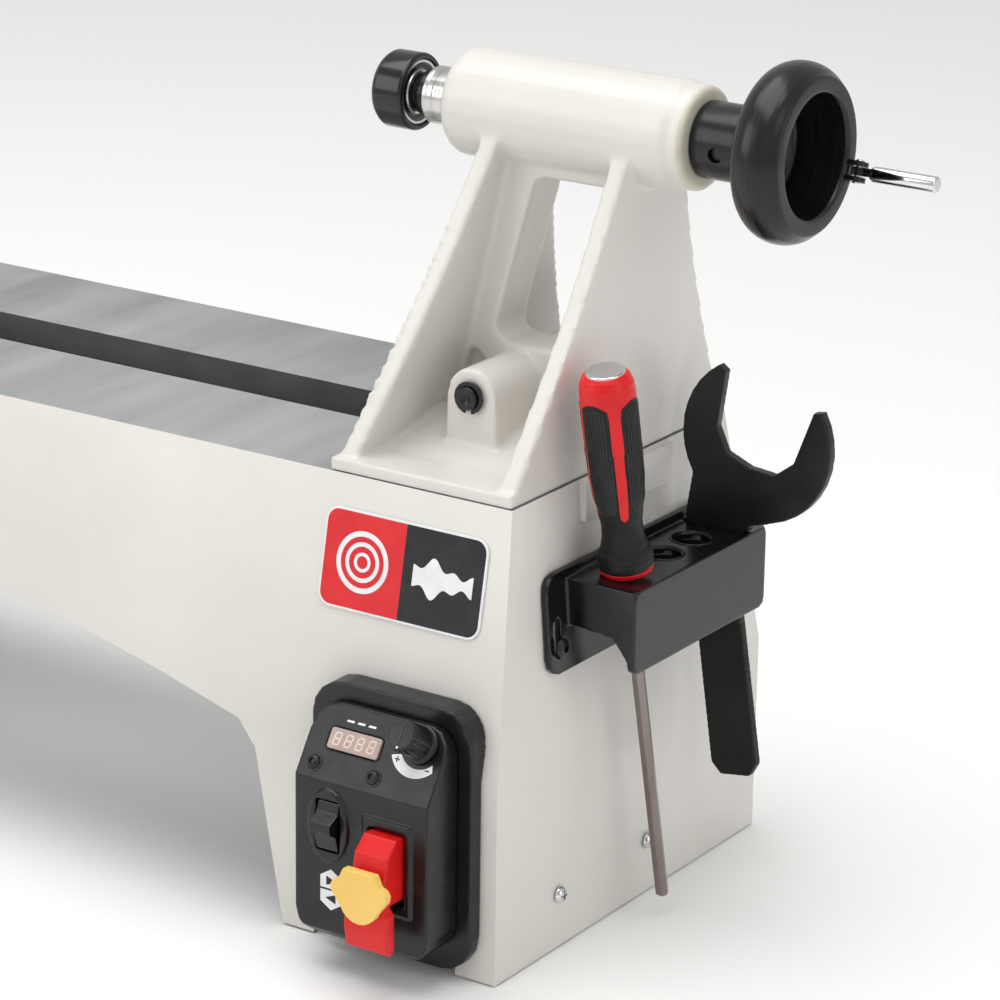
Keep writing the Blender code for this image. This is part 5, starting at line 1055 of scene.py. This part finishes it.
def on_slope(name, outline, thickness, x, share, finish, level=0.0, edge=0.0):
    return slab(name, outline, thickness, slope_place(x, share) + SLOPE_OUT * level * MM, RIGHT, SLOPE_UP,
                finish, edge)


# %% display
DISPLAY_X, DISPLAY_SHARE = -11.0, 0.45
dress(on_slope("display_window_fine", round_box(28.0, 10.0, 1.5), 1.6, DISPLAY_X, DISPLAY_SHARE, WINDOW,
               -0.9, 0.2), "display_window")


def segment(x0, y0, x1, y1, half=0.42):
    """One bar of a digit, with pointed ends."""
    a, b = Vector((x0, y0)), Vector((x1, y1))
    run = (b - a).normalized()
    side = Vector((-run.y, run.x)) * half
    return [a, a + run * half - side, b - run * half - side, b, b - run * half + side,
            a + run * half + side]


def one_digit():
    """Seven bars, leaning a little, as a flat mesh of prisms."""
    w, h = 1.7, 3.0
    bars = [(-w, h, w, h), (-w, 0, w, 0), (-w, -h, w, -h), (-w, h, -w, 0), (w, h, w, 0), (-w, 0, -w, -h),
            (w, 0, w, -h)]
    bm = bmesh.new()
    for x0, y0, x1, y1 in bars:
        points = [(p.x + 0.12 * p.y, p.y) for p in segment(x0 * 0.94, y0 * 0.94, x1 * 0.94, y1 * 0.94)]
        rows = [[bm.verts.new((x * MM, y * MM, z * MM)) for x, y in points] for z in (0.0, 0.1)]
        bm.faces.new(rows[1])
        bm.faces.new(rows[0][::-1])
        for i in range(6):
            j = (i + 1) % 6
            bm.faces.new((rows[0][i], rows[0][j], rows[1][j], rows[1][i]))
    mesh = bpy.data.meshes.new("digits")
    bm.to_mesh(mesh)
    bm.free()
    return mesh


def make_repeat_tree():
    """Repeats the shape it is given along X."""
    tree, given = new_tree("repeat_in_a_row", Count=("Int", 4), Step=("Float", 0.006))
    offset = add(tree, "ShaderNodeCombineXYZ", [("X", given.outputs["Step"])])
    row = add(tree, "GeometryNodeMeshLine", [("Count", given.outputs["Count"]), ("Offset",
            offset.outputs[0])])
    copies = add(tree, "GeometryNodeInstanceOnPoints",
                 [("Points", row.outputs[0]), ("Instance", given.outputs["Shape"])])
    return close_tree(tree, given, copies.outputs[0])


DIGIT_STEP = 6.3
digits = grown("display_digits", make_repeat_tree(), SEGMENTS, one_digit(), Count=4, Step=DIGIT_STEP * MM)
turn = Matrix((RIGHT, SLOPE_UP, SLOPE_OUT)).transposed().to_4x4()
start = slope_place(DISPLAY_X - 1.5 * DIGIT_STEP, DISPLAY_SHARE) + SLOPE_OUT * 0.68 * MM
digits.data.transform(Matrix.Translation(start) @ turn)
attach(outwards(digits), "display_window")

# %% speed knob
KNOB_X, KNOB_SHARE = 23.0, 0.26
KNOB_PLACE = slope_place(KNOB_X, KNOB_SHARE)
knob = [(0.3, 0), (0.3, 9.2), (2.2, 9.2), (2.8, 8.2), (4.0, 7.6), (18.2, 7.1), (19.0, 6.4), (19.0, 0)]
dress(turned("speed_knob_fine", knob, KNOB_PLACE, BLACK_PLASTIC, along=SLOPE_OUT, soft=0.3, sides=96),
      "speed_knob")
ribs("speed_knob_ribs", "speed_knob", BLACK_PLASTIC, KNOB_PLACE + SLOPE_OUT * 10.6 * MM, SLOPE_OUT, 18,
     7.05, 14.0, 0.72)
pointer = [(-0.3, -6.6), (0.3, -6.6), (0.3, 6.2), (-0.3, 6.2)]
attach(slab("speed_knob_line", pointer, 0.25, KNOB_PLACE + SLOPE_OUT * 18.95 * MM, RIGHT, SLOPE_UP,
            GLOSS_PLASTIC), "speed_knob")
attach(slab("speed_knob_dot", arc(0, -5.9, 0.55, 0, 345, 23), 0.35, KNOB_PLACE + SLOPE_OUT * 18.95 * MM,
            RIGHT, SLOPE_UP, WHITE_INK), "speed_knob")

# %% printed marks on the box
def crescent():
    """The fat crescent under the knob."""
    return arc(0, 0, 14.2, 205, 318, 16) + arc(1.4, 1.2, 10.9, 318, 212, 16)


attach(on_slope("crescent_mark", crescent(), 0.12, KNOB_X - 0.5, KNOB_SHARE + 0.04, WHITE_INK, 0.0),
       "control_cover")
plus = [(-1.4, -0.3), (-0.3, -0.3), (-0.3, -1.4), (0.3, -1.4), (0.3, -0.3), (1.4, -0.3), (1.4, 0.3),
        (0.3, 0.3), (0.3, 1.4),
        (-0.3, 1.4), (-0.3, 0.3), (-1.4, 0.3)]
minus = [(-1.2, -0.3), (1.2, -0.3), (1.2, 0.3), (-1.2, 0.3)]
attach(on_slope("plus_mark", plus, 0.2, KNOB_X - 9.8, KNOB_SHARE + 0.24, GLOSS_PLASTIC), "control_cover")
attach(on_slope("minus_mark", minus, 0.2, KNOB_X + 7.2, KNOB_SHARE + 0.29, GLOSS_PLASTIC),
       "control_cover")
for number in range(3):
    tick = [(-2.0, -0.5), (2.0, -0.5), (2.4, 0.5), (-1.6, 0.5)]
    attach(on_slope(f"speed_tick_{number}", tick, 0.12, DISPLAY_X - 6.0 + 6.0 * number, 0.20, WHITE_INK),
           "control_cover")

ROCKER_PLACE = Vector((BOX_MIDDLE - 17.5 * MM, BOX_FRONT, COVER_LOW.z + 57 * MM))
for side, name in ((1, "reverse"), (-1, "forward")):
    shield_mark = [(-6.0, 0.5 * side), (6.0, 0.5 * side), (6.0, 6.4 * side), (0.0, 10.2 * side),
                   (-6.0, 6.4 * side)]
    arrow = [(-2.6 * side, 2.0 * side), (-2.6 * side, 6.6 * side), (3.2 * side, 4.3 * side)]
    place = ROCKER_PLACE + Vector((1.0 * MM, 0.05 * MM, -32.0 * MM))
    if side < 0:
        shield_mark.reverse()
    attach(slab(f"{name}_mark", shield_mark, 0.15, place, RIGHT, PANEL_UP, WHITE_INK), "control_cover")
    attach(slab(f"{name}_arrow", arrow, 0.22, place, RIGHT, PANEL_UP, GLOSS_PLASTIC), "control_cover")

# %% [markdown]
# ## Screws
# A screw head is a turned dome with a recess. Two kinds of recess are enough here, a hexagon and a
# cross, each cut by a small prism, and a short list says which node gets which.

# %% screws
def screw(node, place, out, radius, height, finish, recess):
    """A domed head with a recess, sizes in millimetres."""
    dome = [(0.2, 0), (0.2, radius), (0.35 * height, radius * 0.98), (0.75 * height, radius * 0.78),
            (height, radius * 0.45), (height, 0)]
    head = turned(f"{node}_fine", dome, place, finish, along=out, soft=0.5, sides=48)
    up = PANEL_UP if abs(Vector(out).z) < 0.7 else Vector((0, 1, 0))
    up = (up - Vector(out) * up.dot(out)).normalized()
    right = up.cross(Vector(out))
    depth = place + Vector(out) * 0.5 * height * MM
    cuts = [arc(0, 0, 0.5 * radius, 0, 300, 5)]
    if recess == "cross":
        a, b = 0.62 * radius, 0.13 * radius
        cuts = [[(-x, -y), (x, -y), (x, y), (-x, y)] for x, y in ((a, b), (b, a))]
    for outline in cuts:
        carved(head, slab("recess", outline, height, depth, right, up, finish))
    return dress(head, node)


for node, x in (("cover_screw_left", -29.0), ("cover_screw_right", 4.0)):
    screw(node, slope_place(x, 0.80), SLOPE_OUT, 3.4, 2.2, BLACK_OXIDE, "hexagon")
    washer = [(0.05, 3.5), (0.05, 4.3), (0.4, 4.3), (0.4, 3.5)]
    attach(turned(f"{node}_seat", washer, slope_place(x, 0.80), GLOSS_PLASTIC, along=SLOPE_OUT, soft=0.15,
                  closed=True, sides=48), node)
for node in ("end_screw_front", "end_screw_rear"):
    spot = middle(node)
    screw(node, Vector((low(node).x, spot.y, spot.z)), RIGHT, 4.2, 3.3, CHROME, "cross")
for node in ("holder_screw_front", "holder_screw_rear"):
    spot = middle(node)
    screw(node, Vector((high(node).x - 3.0 * MM, spot.y, spot.z)), RIGHT, 4.6, 3.0, BLACK_OXIDE,
          "hexagon")

# %% [markdown]
# ## The tool holder, the wrench and the driver
# The holder is a glossy moulding with a raised lip round each hole. The wrench is flat black plate
# whose handle is dipped in rubber, so its faces are sorted by height.

# %% holder and wrench
HOLDER_LOW, HOLDER_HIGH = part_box("tool_holder")
HOLDER_TOP = HOLDER_HIGH.z - 4 * MM
moulded("tool_holder", GLOSS_PLASTIC, faces=70000, rounds=3)
for number, y in enumerate((-37.0, -4.0, 22.0)):
    hole = 8.7 if number == 0 else 9.2
    place = Vector((HOLDER_HIGH.x - 19.5 * MM, middle("tool_holder").y + y * MM, HOLDER_TOP - 0.3 * MM))
    lip = [(0, hole), (0, hole + 1.6), (0.7, hole + 1.3), (0.9, hole + 0.7), (0.6, hole + 0.1)]
    attach(turned(f"holder_hole_lip_{number}", lip, place, GLOSS_PLASTIC, along=(0, 0, 1), soft=0.2,
                  closed=True), "tool_holder")


def wrench_finish(place, normal):
    """Rubber below the holder, bare black plate above."""
    return int(place.z < HOLDER_LOW.z - 2 * MM)


moulded("spindle_wrench", BLACK_OXIDE, GRIP_RUBBER, faces=50000, rounds=4, sort=wrench_finish)

# %% [markdown]
# ### The driver's grip
# The grip has a red core and four black rubber panels with a fine square knurl. Panels with
# rounded ends are a matter of yes or no for each small patch of the surface, so the grip is a grid
# wrapped round the axis: where a patch belongs to a panel it is raised a little and painted black.
# The knurl is a field of points with a small block on each, turned to face outwards.

# %% driver grip
DRIVER_UP = Vector((-0.026, -0.184, 0.9826)).normalized()
SPOT = Vector((HOLDER_HIGH.x - 18 * MM, middle("tool_holder").y - 37 * MM, HOLDER_TOP - 2 * MM))
PANELS = 4
STRIP_TURN = math.radians(-46.5)      # brings one red strip to the front
KNURL_LIFT = 0.28
GRIP_START, GRIP_STOP = 4.7, 104.3
RUBBER_START, RUBBER_STOP = 7.0, 95.0
GRIP_PROFILE = [(4.7, 11.6), (5.2, 12.0), (7.0, 12.0), (7.1, 12.2), (12.4, 12.4), (14.0, 12.1),
                (17.7, 10.4), (23.0, 9.4), (28.7, 9.2),
                (36.0, 10.2), (44.0, 11.5), (54.7, 12.3), (75.0, 12.8), (94.7, 12.9), (99.0, 12.5),
                (102.5, 11.3), (104.3, 9.6)]


def grip_radius(along):
    """Radius of the red core at a distance along the driver."""
    for (a0, r0), (a1, r1) in zip(GRIP_PROFILE, GRIP_PROFILE[1:]):
        if along <= a1:
            t = max(0.0, (along - a0) / (a1 - a0))
            t = t * t * (3 - 2 * t) if a1 - a0 > 3 else t
            return r0 + (r1 - r0) * t
    return GRIP_PROFILE[-1][1]


def strip_half(along):
    """Half width of a red strip in millimetres, wide at the top and round at its lower end."""
    top, bottom = 89.0, 33.5
    if along < bottom:
        return -1.0
    wide = 1.8 + 1.1 * (along - bottom) / (top - bottom)
    if along < bottom + 3.0:
        wide *= math.sqrt(max(0.0, 1 - ((bottom + 3.0 - along) / 3.0) ** 2))
    if along > top:
        wide += 14.0 * (1 - math.sqrt(max(0.0, 1 - min(1.0, (along - top) / 5.0) ** 2)))
    return wide


def is_rubber(along, angle):
    """True where the surface is black rubber."""
    if along < RUBBER_START or along > RUBBER_STOP:
        return False
    step = 2 * math.pi / PANELS
    off = (angle + step / 2) % step - step / 2
    return abs(off) * grip_radius(along) > strip_half(along)


def driver_matrix():
    """Carries a shape drawn up Z onto the leaning driver, keeping X near the world's X."""
    right = (RIGHT - DRIVER_UP * RIGHT.dot(DRIVER_UP)).normalized()
    turn = Matrix((right, DRIVER_UP.cross(right), DRIVER_UP)).transposed().to_4x4()
    return Matrix.Translation(SPOT) @ turn @ Matrix.Rotation(STRIP_TURN, 4, "Z")


def build_grip():
    around, rows, raised = 240, 250, 0.35
    bm = bmesh.new()
    levels = [GRIP_START + (GRIP_STOP - GRIP_START) * k / rows for k in range(rows + 1)]
    grid = []
    for along in levels:
        ring = []
        for k in range(around):
            angle = 2 * math.pi * k / around
            radius = grip_radius(along) + (raised if is_rubber(along, angle) else 0.0)
            ring.append(bm.verts.new((radius * math.cos(angle) * MM, radius * math.sin(angle) * MM,
                    along * MM)))
        grid.append(ring)
    for i, (near, far) in enumerate(zip(grid, grid[1:])):
        for k in range(around):
            n = (k + 1) % around
            face = bm.faces.new((near[k], near[n], far[n], far[k]))
            face.material_index = int(is_rubber((levels[i] + levels[i + 1]) / 2,
                    2 * math.pi * (k + 0.5) / around))
    bm.faces.new(grid[0][::-1])
    bm.faces.new(grid[-1])
    bmesh.ops.transform(bm, matrix=driver_matrix(), verts=bm.verts)
    mesh = bpy.data.meshes.new("driver_handle_fine")
    bm.to_mesh(mesh)
    bm.free()
    grip = piece_from(mesh.name, mesh, RED_PLASTIC, GRIP_RUBBER)
    return smooth(outwards(grip), 50.0)


dress(build_grip(), "driver_handle")
cap = [(103.5, 0), (103.5, 9.3), (104.6, 9.3), (105.2, 8.9), (105.4, 6.0), (105.5, 0)]
attach(turned("driver_cap", cap, SPOT, CHROME, along=DRIVER_UP, soft=0.3), "driver_handle")
foot_ring = [(4.5, 5.0), (4.5, 12.3), (6.6, 12.6), (7.0, 12.3), (7.0, 5.0)]
attach(turned("driver_foot_ring", foot_ring, SPOT, RED_PLASTIC, along=DRIVER_UP, soft=0.3, closed=True),
       "driver_handle")


# %% knurl on the grip
def make_knurl_tree():
    tree, given = new_tree("knurl", Size=("Float", 0.0006))
    place = add(tree, "GeometryNodeInputPosition").outputs[0]
    outward = add(tree, "ShaderNodeVectorMath", [(0, place), (1, (1.0, 1.0, 0.0))], operation="MULTIPLY")
    facing = add(tree, "FunctionNodeAlignRotationToVector", [("Vector", outward.outputs[0])], axis="Z")
    size = add(tree, "ShaderNodeCombineXYZ", [("X", given.outputs["Size"]), ("Y", given.outputs["Size"]),
            ("Z", given.outputs["Size"])])
    block = add(tree, "GeometryNodeMeshCube", [("Size", size.outputs[0])])
    copies = add(tree, "GeometryNodeInstanceOnPoints",
                 [("Points", given.outputs["Shape"]), ("Instance", block.outputs["Mesh"]),
                                                        ("Rotation", facing.outputs[0])])
    return close_tree(tree, given, copies.outputs[0])


def knurl_points():
    """Points on the panels, in even rows that stop short of the panels' edges."""
    pitch, margin, widest = 1.3, 1.5, 12.6
    flange, panels = (8.4, 13.2), (38.0, 92.0)
    points = []
    for start, stop in (flange, panels):
        for row in range(int((stop - start) / pitch)):
            along = start + pitch * row
            radius = grip_radius(along) + KNURL_LIFT
            count = int(2 * math.pi * widest / pitch)
            for k in range(count):
                angle = 2 * math.pi * k / count
                shift = margin / radius
                corners = [(up, turn) for turn in (-shift, shift) for up in (-margin, margin)]
                clear = all(is_rubber(along + up, angle + turn) for up, turn in corners)
                if clear or (start, stop) == flange:
                    points.append((radius * math.cos(angle) * MM, radius * math.sin(angle) * MM,
                            along * MM))
    return points


dots = bpy.data.meshes.new("knurl_points")
dots.from_pydata(knurl_points(), [], [])
print(len(dots.vertices), "knurl blocks on the grip")
knurl = grown("driver_knurl", make_knurl_tree(), KNURL_RUBBER, dots, Size=0.85 * MM)
knurl.data.transform(driver_matrix())
attach(outwards(knurl), "driver_handle")
